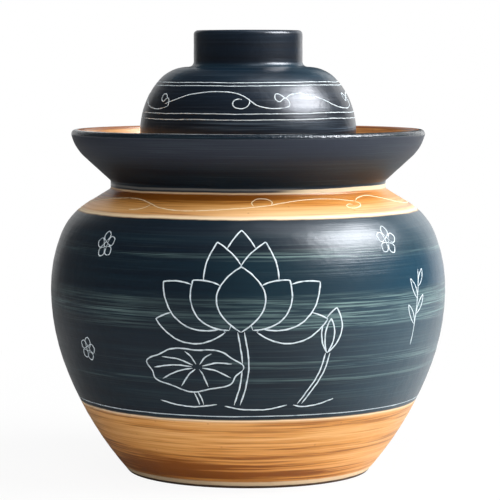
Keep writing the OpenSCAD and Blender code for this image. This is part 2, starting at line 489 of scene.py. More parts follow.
@dataclass
class LineWork:
    """Lines scratched through the glaze into the pale clay, as shallow troughs with a burr on each side.

    Attributes:
        form: The thrown form that carries them.
        name: Name of the piece.
        seed: Number of its own that sets the hand's unevenness.
    """

    form: TurnedForm
    name: str
    seed: int
    # Across the trough: share of the half width, and height above the glaze
    section: tuple = ((-1, -0.1), (-0.6, 0.1), (0, 0.03), (0.6, 0.1), (1, -0.1), (0.5, -0.4), (-0.5, -0.4))
    # Waves in a lap of the hand, with the share of the width that each moves the line and that each widens it
    sways: tuple = ((3, 0.07), (7, 0.05))
    swells: tuple = ((5, 0.1), (11, 0.07))
    # Points in a lap of a ring and of an open line, and points of a ring
    ring_lap: int = 40
    line_lap: int = 50
    ring_steps: int = 256
    # Share of the width at an open end, and the steps over which it widens
    end_width: float = 0.35
    end_steps: int = 3

    def __post_init__(self) -> None:
        """Starts an empty piece."""
        self.points, self.faces, self.count = [], [], 0
        self.draws = np.random.RandomState(self.seed)

    def ring(self, height: float, width: float) -> None:
        """Adds a line all the way round at a height."""
        turns = np.linspace(0, TAU, self.ring_steps, endpoint=False)
        self.add(turns, np.full(self.ring_steps, float(self.form.along_of(height))), width, closed=True)

    def rings(self) -> None:
        """Adds the line of each groove of the form that has one."""
        for groove in self.form.grooves:
            if groove.lined:
                self.ring(groove.height, groove.width)

    def stroke(self, points: list[tuple[float, float]], width: float, shift: float) -> None:
        """Adds a smooth line.

        Args:
            points: Turn in degrees and height of each of its points.
            width: Its width.
            shift: Degrees that it is turned on round the wheel.
        """
        turns = np.radians(np.array([p[0] + shift for p in points]))
        alongs = self.form.along_of(np.array([p[1] for p in points], float))
        reach = float(self.form.radius_at(alongs.mean()))
        line = spline(list(zip(turns * reach, alongs)))
        self.add(line[:, 0] / reach, line[:, 1], width)

    def flat_line(self, line: np.ndarray, width: float, turn: float) -> None:
        """Adds a line drawn flat, with its height as it is and its width bent round the belly.

        Args:
            line: Distances to the right and heights of its points.
            width: Its width.
            turn: Degrees that it is turned on round the wheel.
        """
        widest = self.form.points[:, 0].max()
        fine = even(line, LINE_STEP)
        self.add(fine[:, 0] / widest + math.radians(turn), self.form.along_of(fine[:, 1]), width)

    def add(self, turn: np.ndarray, along: np.ndarray, width: float, closed: bool = False) -> None:
        """Adds one trough.

        Args:
            turn: Angles of its points in radians.
            along: Their lengths along the outline.
            width: Its width.
            closed: Whether it ends where it starts.
        """
        radius, count = self.form.radius_at(along), len(turn)
        if closed:
            steps = np.stack([np.roll(turn, -1) - np.roll(turn, 1), np.roll(along, -1) - np.roll(along, 1)], axis=1)
            steps[:, 0] = (steps[:, 0] + math.pi) % TAU - math.pi
        else:
            steps = np.stack([np.gradient(turn), np.gradient(along)], axis=1)
        steps[:, 0] *= radius
        steps /= np.linalg.norm(steps, axis=1)[:, None]
        mark = np.arange(count) * TAU / count
        laps = mark * (max(1, round(count / self.ring_lap)) if closed else count / self.line_lap)
        phases = self.draws.uniform(0, TAU, 4)
        sway, swell = (
            sum(share * np.sin(waves * laps + phase) for (waves, share), phase in zip(rows, part))
            for rows, part in ((self.sways, phases[:2]), (self.swells, phases[2:]))
        )
        sway, half, ease = width * sway, width / 2 * (1 + swell), np.ones(count)
        if not closed:
            sway *= np.sin(mark / 2)
            spot = np.minimum(np.arange(count), np.arange(count)[::-1])
            ease = self.end_width + (1 - self.end_width) * smooth(spot / self.end_steps)
        sections = []
        for share, lift in self.section:
            off = share * half * ease + sway
            turn_here = turn - off * steps[:, 1] / radius
            sections.append(self.form.place(turn_here, along + off * steps[:, 0], lift * ease))
        ring = len(self.section)
        self.points.append(np.stack(sections, axis=1).reshape(-1, 3))
        for i in range(count if closed else count - 1):
            here, there = self.count + i * ring, self.count + (i + 1) % count * ring
            for k in range(ring):
                n = (k + 1) % ring
                self.faces.append((here + k, here + n, there + n, there + k))
        if not closed:
            last = self.count + (count - 1) * ring
            self.faces.append(tuple(self.count + k for k in reversed(range(ring))))
            self.faces.append(tuple(last + k for k in range(ring)))
        self.count += count * ring

    def build(self) -> bpy.types.Object:
        """Returns the finished piece."""
        return mesh_piece(self.name, np.concatenate(self.points), self.faces)


@dataclass(frozen=True)
class Petal:
    """A pointed petal, drawn flat.

    Attributes:
        base: Where it grows from.
        tip: Its point.
        left: Bulge of its left side, seen from base to tip.
        right: Bulge of its right side.
    """

    base: Spot
    tip: Spot
    left: float
    right: float

    def outline(self) -> np.ndarray:
        """Draws its outline.

        Returns:
            The points from base to tip and back.
        """
        base, tip = np.array(self.base), np.array(self.tip)
        along = tip - base
        # The curve reaches three quarters of the way to the points that it bends towards
        across = 1.33 * unit(np.array([-along[1], along[0]]))
        lean = 0.3 * along
        sides = [
            bezier(base, base + lean + across * bulge, tip - lean + across * bulge, tip)
            for bulge in (self.left, -self.right)
        ]
        return np.concatenate([sides[0], sides[1][::-1]])


def inside(points: np.ndarray, shape: np.ndarray) -> np.ndarray:
    """Tells which points lie inside a closed shape.

    Args:
        points: The points.
        shape: The corners of the shape.

    Returns:
        True or False for each point.
    """
    found = np.zeros(len(points), bool)
    for (ax, ay), (bx, by) in zip(shape, np.roll(shape, -1, axis=0)):
        if ay == by:
            continue
        crossed = (ay > points[:, 1]) != (by > points[:, 1])
        found ^= crossed & (points[:, 0] < (bx - ax) * (points[:, 1] - ay) / (by - ay) + ax)
    return found


def layered(shapes: list[np.ndarray], opens: list[np.ndarray]) -> list[np.ndarray]:
    """Draws overlapping shapes with the hidden lines left out.

    Args:
        shapes: Closed shapes from the front to the back.
        opens: Open lines behind all of them.

    Returns:
        The lines that show.
    """
    lines = []
    for i, shape in enumerate([*shapes, *opens]):
        fine = even(shape, HIDE_STEP)
        shown = np.ones(len(fine), bool)
        for front in shapes[:i]:
            shown &= ~inside(fine, front)
        cuts = np.flatnonzero(shown[1:] != shown[:-1]) + 1
        runs = zip(np.split(fine, cuts), np.split(shown, cuts))
        lines += [run for run, seen in runs if seen[0] and len(run) > STUB_STEPS]
    return lines


@dataclass
class PondMotif:
    """Traditional line drawing of a lotus over water, made up for the front of the belly.

    Attributes:
        middle: Distance of the blossom's middle to the right of the front.
        blossom_z: Height of the blossom's foot.
        size: Its scale.
        line: Width of the drawn line.
        leaf_spot: Middle of the round leaf.
        leaf_w: Half its width.
        leaf_h: Half its height.
        stem: Half the thickness of the blossom's stem.
        stalk: Half the thickness of the stalks of the bud and the leaf.
    """

    middle: float = -4.0
    blossom_z: float = 97.0
    size: float = 1.12
    line: float = 1.0
    leaf_spot: tuple[float, float] = (-33.0, 75.0)
    leaf_w: float = 29.0
    leaf_h: float = 12.5
    stem: float = 1.9
    stalk: float = 1.4

    def petals(self) -> list[Petal]:
        """Draws the petals of the blossom.

        Returns:
            The petals from the front to the back.
        """
        rows = [
            ((0, 0), (0, 33), 12.5, 12.5),
            ((6, 1), (25, 26), 11, 9),
            ((-6, 1), (-25, 26), 9, 11),
            ((3, 4), (13, 45), 11, 11),
            ((-3, 4), (-13, 45), 11, 11),
            ((9, 2), (41, 25), 9, 11),
            ((-9, 2), (-41, 25), 11, 9),
            ((8, 0), (45, 6), 7, 9),
            ((-8, 0), (-45, 6), 9, 7),
            ((0, 8), (0, 51), 11, 11),
        ]
        return [
            Petal(self.spot(*base), self.spot(*tip), left * self.size, right * self.size)
            for base, tip, left, right in rows
        ]

    def spot(self, x: float, y: float) -> tuple[float, float]:
        """Returns a place of the blossom's own drawing on the belly."""
        return self.middle + x * self.size, self.blossom_z + y * self.size

    def leaf(self) -> tuple[np.ndarray, list[np.ndarray]]:
        """Draws the round leaf.

        Returns:
            Its wavy rim and its veins.
        """
        centre, size = np.array(self.leaf_spot), np.array([self.leaf_w, self.leaf_h])
        turns = np.linspace(0, TAU, 90)
        wave = 1 + 0.05 * np.sin(7 * turns + 0.6) + 0.03 * np.sin(3 * turns)
        rim = centre + np.stack([np.cos(turns), np.sin(turns)], axis=1) * wave[:, None] * size
        heart = centre + [3.0, 2.0]
        veins = []
        for degrees in (20, 62, 100, 140, 178, 215, 250, 290, 335):
            way = centre + size * polar(degrees) * 0.86 - heart
            veins.append(spline([heart + way * 0.14, heart + way * 0.55 + [0, 1.2], heart + way]))
        return rim, veins

    def lines(self) -> list[np.ndarray]:
        """Draws everything, with what lies behind hidden.

        Returns:
            Every line that shows.
        """
        blossom = [petal.outline() for petal in self.petals()]
        rim, veins = self.leaf()
        bud = Petal((47, 84), (52, 110), 6.5, 6.0).outline()
        bud_fold = Petal((47, 84), (48.5, 104), 2.6, 3.2).outline()
        x = self.middle
        stems = [
            spline([(at + side * half, height) for at, height in middle])
            for middle, half in (
                ([(x, self.blossom_z), (x + 2.5, 80), (x + 1, 66), (x - 3, 54)], self.stem),
                ([(47.6, 84), (44.5, 72), (38, 61), (33, 54)], self.stalk),
                ([(-33.5, 63), (-31, 58), (-30, 54)], self.stalk),
            )
            for side in (-1, 1)
        ]
        water = [
            spline([(-58, 55.5), (-46, 53.2), (-34, 52.6), (-20, 54.3)]),
            spline([(-15, 53.4), (-4, 51.4), (12, 51.2), (25, 53.6)]),
            spline([(29, 53.4), (36, 52.2), (46, 53.4), (56, 56.2)]),
        ]
        return [*layered([*blossom, bud_fold, bud, rim], stems), *veins, *water]

    def draw(self, work: LineWork) -> None:
        """Scratches the drawing into the belly."""
        for line in self.lines():
            work.flat_line(line, self.line, 0.0)


@dataclass(frozen=True)
class Floret:
    """Small five-petalled flower with a ring for its heart.

    Attributes:
        turn: Degrees round the wheel.
        height: Height of its heart.
        reach: Length of a petal from the heart.
        lean: Turn of the flower in degrees.
        line: Width of the drawn line.
        bulge: Bulge of each side of a petal.
        root: Distance of a petal's foot from the heart.
        heart_r: Radius of the heart.
    """

    turn: float
    height: float
    reach: float = 7.6
    lean: float = 0.0
    line: float = 0.75
    bulge: float = 2.7
    root: float = 1.9
    heart_r: float = 1.5

    def draw(self, work: LineWork) -> None:
        """Scratches the flower into the belly.

        Args:
            work: The line work that takes it.
        """
        heart = np.array([0.0, self.height])
        ways = [polar(90 + self.lean + 72 * k) for k in range(5)]
        petals = [Petal(heart + way * self.root, heart + way * self.reach, self.bulge, self.bulge) for way in ways]
        ring = heart + self.heart_r * np.array([polar(a) for a in range(0, 361, 20)])
        for line in layered([ring, *(petal.outline() for petal in petals)], []):
            work.flat_line(line, self.line, self.turn)


@dataclass(frozen=True)
class Reed:
    """Slender sprig of narrow leaves.

    Attributes:
        turn: Degrees round the wheel.
        foot: Height of its lower end.
        line: Width of the drawn line.
        stem: Points of its stem above that end.
        leaves: Base and tip of each leaf.
        bulges: Bulge of the two sides of a leaf.
    """

    turn: float
    foot: float
    line: float = 0.75
    stem: tuple = ((-3.0, 0.0), (-1.4, 14.0), (0.4, 28.0), (3.2, 44.0))
    leaves: tuple = (
        ((-1.6, 12.0), (-9.0, 24.0)), ((-0.6, 18.0), (7.0, 29.0)),
        ((0.4, 27.0), (-6.0, 39.0)), ((1.6, 34.0), (8.0, 44.0)),
    )
    bulges: tuple[float, float] = (1.5, 1.9)

    def draw(self, work: LineWork) -> None:
        """Scratches the sprig into the belly.

        Args:
            work: The line work that takes it.
        """
        leaves = [Petal(base, tip, *self.bulges).outline() for base, tip in self.leaves]
        for line in (spline(self.stem), *leaves):
            work.flat_line(line + [0.0, self.foot], self.line, self.turn)


def srgb(red: int, green: int, blue: int) -> Colour:
    """Returns the linear colour of screen values from 0 to 255."""
    values = [c / 255 for c in (red, green, blue)]
    return (*(c / 12.92 if c <= 0.04045 else ((c + 0.055) / 1.055) ** 2.4 for c in values), 1.0)


# Clay that shows where pieces of the set touch
BARE_CLAY = srgb(206, 184, 150)


class Bench:
    """Adds nodes to one tree and joins them. A value is a number, or the socket that it comes from."""

    def __init__(self, tree: bpy.types.NodeTree) -> None:
        """Takes the tree to work on."""
        self.tree = tree

    @classmethod
    def emptied(cls, owner: bpy.types.Material | bpy.types.World) -> "Bench":
        """Clears the nodes of a material or world.

        Args:
            owner: The material or world.

        Returns:
            A bench on its tree.
        """
        owner.use_nodes = True
        owner.node_tree.nodes.clear()
        return cls(owner.node_tree)

    def add(self, kind: str, inputs: dict | None = None, **settings: object) -> bpy.types.Node:
        """Adds a node.

        Args:
            kind: Its type after the word ShaderNode.
            inputs: Values for its inputs, by name or number.
            settings: Its other settings.

        Returns:
            The node.
        """
        node = self.tree.nodes.new("ShaderNode" + kind)
        for name, value in settings.items():
            setattr(node, name, value)
        for name, value in (inputs or {}).items():
            if isinstance(value, Socket):
                self.tree.links.new(value, node.inputs[name])
            else:
                node.inputs[name].default_value = value
        return node

    def math(self, operation: str, *values: Value) -> Socket:
        """Returns the result of a Math node."""
        return self.add("Math", dict(enumerate(values)), operation=operation).outputs[0]

    def times(self, product: Value, *factors: Value) -> Value:
        """Returns the product of values."""
        for factor in factors:
            product = self.math("MULTIPLY", product, factor)
        return product

    def sum_of(self, total: Value, *terms: tuple[Value, float]) -> Value:
        """Adds up weighted values.

        Args:
            total: What the sum starts from.
            terms: Each value with its weight.

        Returns:
            The sum.
        """
        for value, weight in terms:
            total = self.math("MULTIPLY_ADD", value, weight, total)
        return total

    def at_least(self, least: float, mask: Value) -> Socket:
        """Returns a mask with its range of 0 to 1 squeezed to between its least value and 1."""
        return self.math("MULTIPLY_ADD", mask, 1.0 - least, least)

    def mix(self, share: Value, low: Value | Colour, high: Value | Colour) -> Socket:
        """Returns the colour between two, by a share from 0 to 1."""
        return self.add("Mix", {0: share, 6: low, 7: high}, data_type="RGBA").outputs[2]

    def layers(self, colour: Value | Colour, *coats: tuple[Value, Value | Colour]) -> Value | Colour:
        """Lays coats of colour over each other.

        Args:
            colour: The colour under all of them.
            coats: The share from 0 to 1 of each coat in turn, and its colour.

        Returns:
            The colour on top.
        """
        for share, coat in coats:
            colour = self.mix(share, colour, coat)
        return colour

    def between(self, value: Value, low: Value, high: Value, to_low: float = 0.0, to_high: float = 1.0) -> Socket:
        """Returns a value moved smoothly from one range to another, and held beyond the ends."""
        inputs = {"Value": value, "From Min": low, "From Max": high, "To Min": to_low, "To Max": to_high}
        return self.add("MapRange", inputs, interpolation_type="SMOOTHSTEP").outputs[0]

    def noise(self, vector: Value, scale: Value, detail: float = 2.0, roughness: float = 0.5) -> Socket:
        """Returns the value of a Noise Texture node."""
        inputs = {"Vector": vector, "Scale": scale, "Detail": detail, "Roughness": roughness}
        return self.add("TexNoise", inputs).outputs[0]

    def ramp(self, value: Value, stops: list[tuple[float, Colour]]) -> Socket:
        """Colours a value by a ColorRamp node.

        Args:
            value: The value, from 0 to 1.
            stops: The place and colour of each stop of the ramp.

        Returns:
            The colour.
        """
        node = self.add("ValToRGB", {0: value})
        elements = node.color_ramp.elements
        while len(elements) < len(stops):
            elements.new(0.5)
        for element, (position, colour) in zip(elements, stops):
            element.position, element.color = position, colour
        return node.outputs[0]

    def place(self) -> Socket:
        """Returns the point's place in the piece's own metres."""
        return self.add("TexCoord").outputs["Object"]

    def side(self) -> Socket:
        """Returns the point's distance to the right of the middle in metres."""
        return self.add("SeparateXYZ", {0: self.place()}).outputs[0]

    def drawn_height(self) -> Socket:
        """Returns the height in millimetres at which the potter drew this point."""
        return self.add("Attribute", attribute_name="drawn_height").outputs["Fac"]


def shared_group(name: str, inputs: dict[str, float], outputs: tuple[str, ...]) -> tuple:
    """Starts a node group.

    Args:
        name: Its name.
        inputs: Its input values and their defaults.
        outputs: The names of its output values.

    Returns:
        The group, a bench on it, its input node and its output node.
    """
    tree = bpy.data.node_groups.new(name, "ShaderNodeTree")
    for label, value in inputs.items():
        tree.interface.new_socket(label, in_out="INPUT", socket_type="NodeSocketFloat").default_value = value
    for label in outputs:
        tree.interface.new_socket(label, in_out="OUTPUT", socket_type="NodeSocketFloat")
    bench = Bench(tree)
    return tree, bench, tree.nodes.new("NodeGroupInput"), tree.nodes.new("NodeGroupOutput")


class SharedEffects:
    """Node groups that several finishes use, each built once."""

    def __init__(self) -> None:
        """Builds the groups."""
        self.streaks = self.wheel_streaks()
        self.speckle = self.kiln_speckle()
        self.skin = self.glaze_skin()

    def wheel_streaks(self) -> bpy.types.NodeTree:
        """Builds brush and finger streaks that run round the wheel.

        Returns:
            The group; see Strokes for its inputs.
        """
        inputs = {"Length": 8.0, "Fineness": 600.0, "Start": 0.0, "Low": 0.45, "High": 0.7}
        tree, bench, given, made = shared_group("wheel_streaks", inputs, ("Mask", "Value"))
        length, fineness, start, low, high = given.outputs[:5]
        place = bench.place()
        parts = bench.add("SeparateXYZ", {0: place})
        squares = [bench.times(parts.outputs[i], parts.outputs[i]) for i in (0, 1)]
        radius = bench.math("SQRT", bench.math("ADD", *squares))
        scale = bench.add("CombineXYZ", {0: length, 1: length, 2: fineness})
        vector = bench.add("VectorMath", {0: place, 1: scale.outputs[0]}, operation="MULTIPLY").outputs[0]
        across = bench.math("MULTIPLY_ADD", radius, fineness, start)
        grain = {"Vector": vector, "W": across, "Scale": 1.0, "Detail": 3.0, "Roughness": 0.62}
        noise = bench.add("TexNoise", grain, noise_dimensions="4D").outputs[0]
        tree.links.new(bench.between(noise, low, high), made.inputs["Mask"])
        tree.links.new(noise, made.inputs["Value"])
        return tree

    def kiln_speckle(self) -> bpy.types.NodeTree:
        """Builds small iron specks and pinholes.

        Returns:
            The group; see Specks for its inputs.
        """
        inputs = {"Scale": 400.0, "Share": 0.2, "Size": 0.3}
        tree, bench, given, made = shared_group("kiln_speckle", inputs, ("Mask",))
        cells = bench.add("TexVoronoi", {"Vector": bench.place(), "Scale": given.outputs["Scale"]})
        draw = bench.add("SeparateColor", {0: cells.outputs["Color"]}).outputs[0]
        lucky = bench.math("LESS_THAN", draw, given.outputs["Share"])
        dot = bench.between(cells.outputs["Distance"], given.outputs["Size"], 0.0)
        tree.links.new(bench.times(dot, lucky), made.inputs["Mask"])
        return tree

    def glaze_skin(self) -> bpy.types.NodeTree:
        """Builds the gentle unevenness of a fired glaze.

        Returns:
            The group; see Skin for its inputs.
        """
        inputs = {"Grain": 350.0, "Mottle": 14.0}
        tree, bench, given, made = shared_group("glaze_skin", inputs, ("Height", "Mottle"))
        place = bench.place()
        fine = bench.noise(place, given.outputs["Grain"], 3.0, 0.6)
        slow = bench.noise(place, given.outputs["Mottle"], 3.0, 0.5)
        tree.links.new(bench.sum_of(0.0, (fine, 0.5), (slow, 0.5)), made.inputs["Height"])
        tree.links.new(slow, made.inputs["Mottle"])
        return tree


EFFECTS = SharedEffects()


def lay_effect(bench: Bench, group: bpy.types.NodeTree, values: object) -> list[Socket]:
    """Returns the outputs of a shared effect in a material, fed by the fields of the values."""
    inputs = {label.capitalize(): value for label, value in vars(values).items()}
    return list(bench.add("Group", inputs, node_tree=group).outputs)


@dataclass(frozen=True)
class Strokes:
    """Streaks of a brush or of fingers that run round the wheel.

    Attributes:
        length: Features per metre round the wheel.
        fineness: Features per metre across it.
        start: Number of its own that sets the pattern.
        low: Value that is 0 in the mask.
        high: Value that is 1 in the mask.
    """

    length: float
    fineness: float
    start: float
    low: float
    high: float

    def lay(self, bench: Bench) -> list[Socket]:
        """Returns the mask of the streaks and their plain value, placed in a material."""
        return lay_effect(bench, EFFECTS.streaks, self)


@dataclass(frozen=True)
class Specks:
    """Iron specks and pinholes.

    Attributes:
        scale: Cells per metre.
        share: Share of the cells that hold a speck.
        size: Size of a speck against its cell.
    """

    scale: float
    share: float
    size: float

    def lay(self, bench: Bench) -> Socket:
        """Returns the mask of the specks, placed in a material."""
        return lay_effect(bench, EFFECTS.speckle, self)[0]


@dataclass(frozen=True)
class Skin:
    """Unevenness of a fired surface.

    Attributes:
        grain: Fine features per metre.
        mottle: Slow features per metre.
    """

    grain: float
    mottle: float

    def lay(self, bench: Bench) -> list[Socket]:
        """Returns the height for bump and the slow mottle for colour, placed in a material."""
        return lay_effect(bench, EFFECTS.skin, self)


@dataclass(frozen=True)
class Fade:
    """Smooth change of one value along another.

    Attributes:
        start: Where it starts.
        end: Where it is complete.
        before: The value before the start.
        after: The value beyond the end.
    """

    start: float
    end: float
    before: float = 0.0
    after: float = 1.0

    def along(self, bench: Bench, value: Value) -> Socket:
        """Returns the value that changes."""
        return bench.between(value, self.start, self.end, self.before, self.after)


@dataclass(frozen=True)
class Region:
    """Part of the pot's outside, as a product of fades.

    Attributes:
        heights: Fades along the height in millimetres.
        sides: Fades along the distance to the right of the middle in metres.
    """

    heights: tuple[Fade, ...]
    sides: tuple[Fade, ...] = ()

    def share(self, bench: Bench, height: Value, side: Value = 0.0) -> Value:
        """Returns how much a point belongs to the region, by its height and its distance to the right."""
        fades = [fade.along(bench, height) for fade in self.heights]
        return bench.times(*fades, *(fade.along(bench, side) for fade in self.sides))


def ring_fades(low: float, high: float, soft: float = 0.2) -> tuple[Fade, Fade]:
    """Returns the two fades of a ring from one height to another."""
    return Fade(low - soft, low + soft), Fade(high + soft, high - soft)


class Surface(NamedTuple):
    """What a finish feeds its shader."""

    colour: Socket
    roughness: Socket
    height: Socket
    # Depth in metres that a height of one stands for
    depth: float


@dataclass(frozen=True)
class Finish:
    """A fired surface, which makes a material around one Principled BSDF.

    Attributes:
        name: Name of the material.
        refraction: Its index of refraction.
        gloss: Level of its reflections.
        tint: Colour of its reflections.
    """

    name: str
    refraction: float = 1.5
    gloss: float = 0.5
    tint: Colour = WHITE

    def work(self, bench: Bench) -> Surface:
        """Mixes what changes over the surface; each finish has its own way.

        Args:
            bench: Bench of the material.

        Returns:
            What the shader takes.
        """
        raise NotImplementedError

    @cache
    def material(self) -> bpy.types.Material:
        """Makes the material, once for finishes that are alike.

        Returns:
            The material.
        """
        material = bpy.data.materials.new(self.name)
        bench = Bench.emptied(material)
        colour, roughness, height, depth = self.work(bench)
        bump = bench.add("Bump", {"Height": height, "Distance": depth, "Strength": 1.0})
        shader = bench.add("BsdfPrincipled", {"Base Color": colour, "Roughness": roughness, "Normal": bump.outputs[0]})
        fixed = {"IOR": self.refraction, "Specular IOR Level": self.gloss, "Specular Tint": self.tint}
        for label, value in fixed.items():
            shader.inputs[label].default_value = value
        bench.add("OutputMaterial", {"Surface": shader.outputs[0]})
        return material


@dataclass(frozen=True)
class TanCoat:
    """Honey-brown glaze, brushed on while the pot turned.

    Attributes:
        dark: Colour of the deep streaks.
        main: Colour between them.
        light: Colour where it is thin.
    """

    dark: Colour
    main: Colour
    light: Colour
    broad: Strokes = Strokes(7.0, 240.0, 3.0, 0.3, 0.7)
    fine: Strokes = Strokes(16.0, 800.0, 8.0, 0.35, 0.68)
    # Streak value at which each of the three colours is reached
    stops: tuple[float, float, float] = (0.08, 0.42, 0.85)

    def lay(self, bench: Bench, deeper: Value) -> tuple[Socket, Socket]:
        """Mixes the glaze.

        Args:
            bench: Bench of the material.
            deeper: How much more of it is deep, from 0 to 1.

        Returns:
            The colour and the streak value.
        """
        streaks = bench.sum_of(0.0, (self.broad.lay(bench)[0], 0.55), (self.fine.lay(bench)[0], 0.45))
        streaks = bench.math("SUBTRACT", streaks, deeper)
        return bench.ramp(streaks, list(zip(self.stops, (self.dark, self.main, self.light)))), streaks


@dataclass(frozen=True)
class OutsideGlaze(Finish):
    """Bands of glaze on the outside of the crock: bare foot, honey brown, and dark blue with brushed teal."""

    name: str = "outside_glaze"
    tint: Colour = (0.8, 0.9, 1.0, 1.0)
    navy: Colour = srgb(9, 22, 34)
    petrol: Colour = srgb(12, 42, 54)
    # Paler blues of the painted light on the right of the belly, the second over the thick band
    thin: Colour = srgb(34, 68, 84)
    thick: Colour = srgb(4, 61, 84)
    # Grey of the collar's glaze with the painted reflection on its upper part
    ashy: Colour = srgb(46, 50, 61)
    teal: Colour = srgb(158, 190, 184)
    tan: TanCoat = TanCoat(srgb(148, 82, 14), srgb(221, 152, 72), srgb(242, 184, 114))
    honey: Colour = srgb(214, 132, 44)
    cream: Colour = srgb(250, 232, 198)
    # Colour of the painted highlight along the lip
    rubbed: Colour = srgb(214, 216, 216)
    # Grey of the painted shade on the waist's left
    worn: Colour = srgb(122, 119, 114)
    # Colour of the painted shadow at the bottom of the foot
    scorched: Colour = srgb(92, 66, 46)

    # Upper height of each band in turn below the dark collar: bare foot, tan, cream ring, dark, cream ring, tan, cream
    bands: tuple = (4.1, 43.2, 44.4, 159.3, 160.9, 173.0, 174.1)
    band_soft: float = 0.16
    # A height above all the bands
    above: float = 230.0
    # How far the brush strays from a band's edge, and how much lower the rings of the waist run on the left
    stray: float = 0.7
    dip: Region = Region((Fade(165.0, 169.0),), (Fade(0.03, 0.065, 0.3, 0.0),))

    # Painted shade on the tan, low near the foot and high under the collar, less of it on the right, eased there by
    # painted light
    low_pool: Region = Region((Fade(27.0, 8.0, 0.0, 0.38),), (Fade(0.075, 0.01, 0.1, 1.0),))
    high_pool: Region = Region((Fade(166.5, 172.0, 0.0, 0.85),), (Fade(-0.01, 0.045, 1.0, 0.45),))
    lighter: Fade = Fade(0.03, 0.08, 0.0, 0.1)
    # Where the shoulder's tan has a cream tint, stronger towards the right as painted light, and where it has more
    # honey
    milky: Region = Region((Fade(168.0, 161.0), Fade(90.0, 110.0)), (Fade(-0.06, 0.02, 0.08, 0.32),))
    honeyed: Region = Region((Fade(165.0, 169.0),), (Fade(0.0, 0.04, 0.0, 0.55),))
    # Painted shade that turns the cream ring of the waist tan on the left
    waist_warm: Region = Region((Fade(168.0, 171.0),), (Fade(0.0, 0.04, 0.45, 0.0),))

    # Heights with most brushed teal, with the spread and strength of each, and the share on all other heights
    brushed: tuple = (
        (140, 6, 0.6), (131, 3, 0.2), (114, 6, 0.7), (107, 6, 0.95), (100, 4, 0.6), (78, 5, 0.3), (67, 5, 0.3),
    )
    brushed_else: float = 0.06
    fine: Strokes = Strokes(13.0, 1250.0, 1.0, 0.47, 0.62)
    broad: Strokes = Strokes(4.0, 210.0, 5.0, 0.36, 0.62)
    hair: Strokes = Strokes(26.0, 1900.0, 14.0, 0.5, 0.64)
    hairy: Region = Region((Fade(96.5, 98.5), Fade(121.0, 113.0, 0.0, 0.55)))
    # Painted shade and light on the brushed teal: weaker on the left, stronger on the right
    teal_left: Fade = Fade(-0.105, -0.04, 0.28, 0.6)
    teal_right: Fade = Fade(0.01, 0.055, 0.0, 0.32)
    # Where the dark glaze is thick, and the painted light that makes the belly bluer and paler towards the right
    deep: Region = Region((Fade(115.0, 120.0), Fade(140.0, 134.0)))
    deep_hides: float = 0.7
    wash: Region = Region((Fade(96.0, 99.0), Fade(142.0, 136.0)), (Fade(-0.045, 0.02, 0.0, 0.75),))
    thinner: Region = Region((Fade(161.0, 160.0),), (Fade(0.02, 0.125, 0.0, 0.8),))
    # The collar's grey glaze, painted paler towards its top as a painted reflection, its glossy bead, and where it is
    # matt
    collar: Fade = Fade(184.0, 199.0)
    bead: Fade = Fade(204.9, 205.5)
    matt: Region = Region((Fade(176.5, 180.0), Fade(205.5, 204.5)))

    # Painted shade and light on the waist: a grey ring on the shaded left, and the cream ring drawn wider on the lit
    # right
    waist_break: Region = Region(ring_fades(174.85, 176.05), (Fade(0.012, 0.036, 0.85, 0.0),))
    waist_wiped: Region = Region(ring_fades(173.0, 175.3), (Fade(0.012, 0.036),))
    # Painted highlight along the top of the lip
    lip_rub: Fade = Fade(208.25, 208.55, 0.0, 0.85)
    # Painted shadow along the bottom of the foot, where it meets the floor
    foot_scorch: Fade = Fade(1.8, 1.2)
    skin: Skin = Skin(420.0, 11.0)
    specks: Specks = Specks(260.0, 0.05, 0.28)
    # The belly and shoulder, whose glaze is slightly wavy
    wavy: Fade = Fade(160.5, 159.5)

    def masks(self, bench: Bench, height: Value) -> tuple[Socket, Socket, Socket]:
        """Tells the bands apart.

        Args:
            bench: Bench of the material.
            height: Height in millimetres with the brush's unevenness.

        Returns:
            The masks of the tan, pale and dark bands.
        """
        tan, pale, dark = (1, 0, 0, 1), (0, 1, 0, 1), (0, 0, 1, 1)
        kinds = (pale, tan, pale, dark, pale, tan, pale, dark)
        stops, low = [(0.0, kinds[0])], kinds[0]
        for edge, kind in zip(self.bands, kinds[1:]):
            stops += [((edge - self.band_soft) / self.above, low), ((edge + self.band_soft) / self.above, kind)]
            low = kind
        parts = bench.add("SeparateColor", {0: bench.ramp(bench.math("DIVIDE", height, self.above), stops)})
        return tuple(parts.outputs)

    def tan_colour(self, bench: Bench, drawn: Value, side: Value) -> Socket:
        """Mixes the colour of the tan bands, with painted shade and painted light.

        Args:
            bench: Bench of the material.
            drawn: Height in millimetres.
            side: Distance to the right in metres.

        Returns:
            The colour.
        """
        # Painted shade near the foot and under the collar, with less of it on the right as painted light
        shadings = [pool.share(bench, drawn, side) for pool in (self.low_pool, self.high_pool)]
        painted_shade = bench.math("SUBTRACT", bench.math("ADD", *shadings), self.lighter.along(bench, side))
        colour, _ = self.tan.lay(bench, painted_shade)
        # Cream tint of the shoulder, stronger on the right as painted light
        milky, honeyed = (region.share(bench, drawn, side) for region in (self.milky, self.honeyed))
        return bench.layers(colour, (milky, self.cream), (honeyed, self.honey))

    def teal_share(self, bench: Bench, height: Value) -> Socket:
        """Adds up how much brushed teal a height carries.

        Args:
            bench: Bench of the material.
            height: Height in millimetres with the brush's unevenness.

        Returns:
            The share.
        """
        total = self.brushed_else
        for middle, spread, strength in self.brushed:
            away = bench.math("ABSOLUTE", bench.math("SUBTRACT", height, middle))
            total = bench.math("ADD", total, bench.between(away, spread, 0.0, 0.0, strength))
        return bench.math("MINIMUM", total, 1.0)

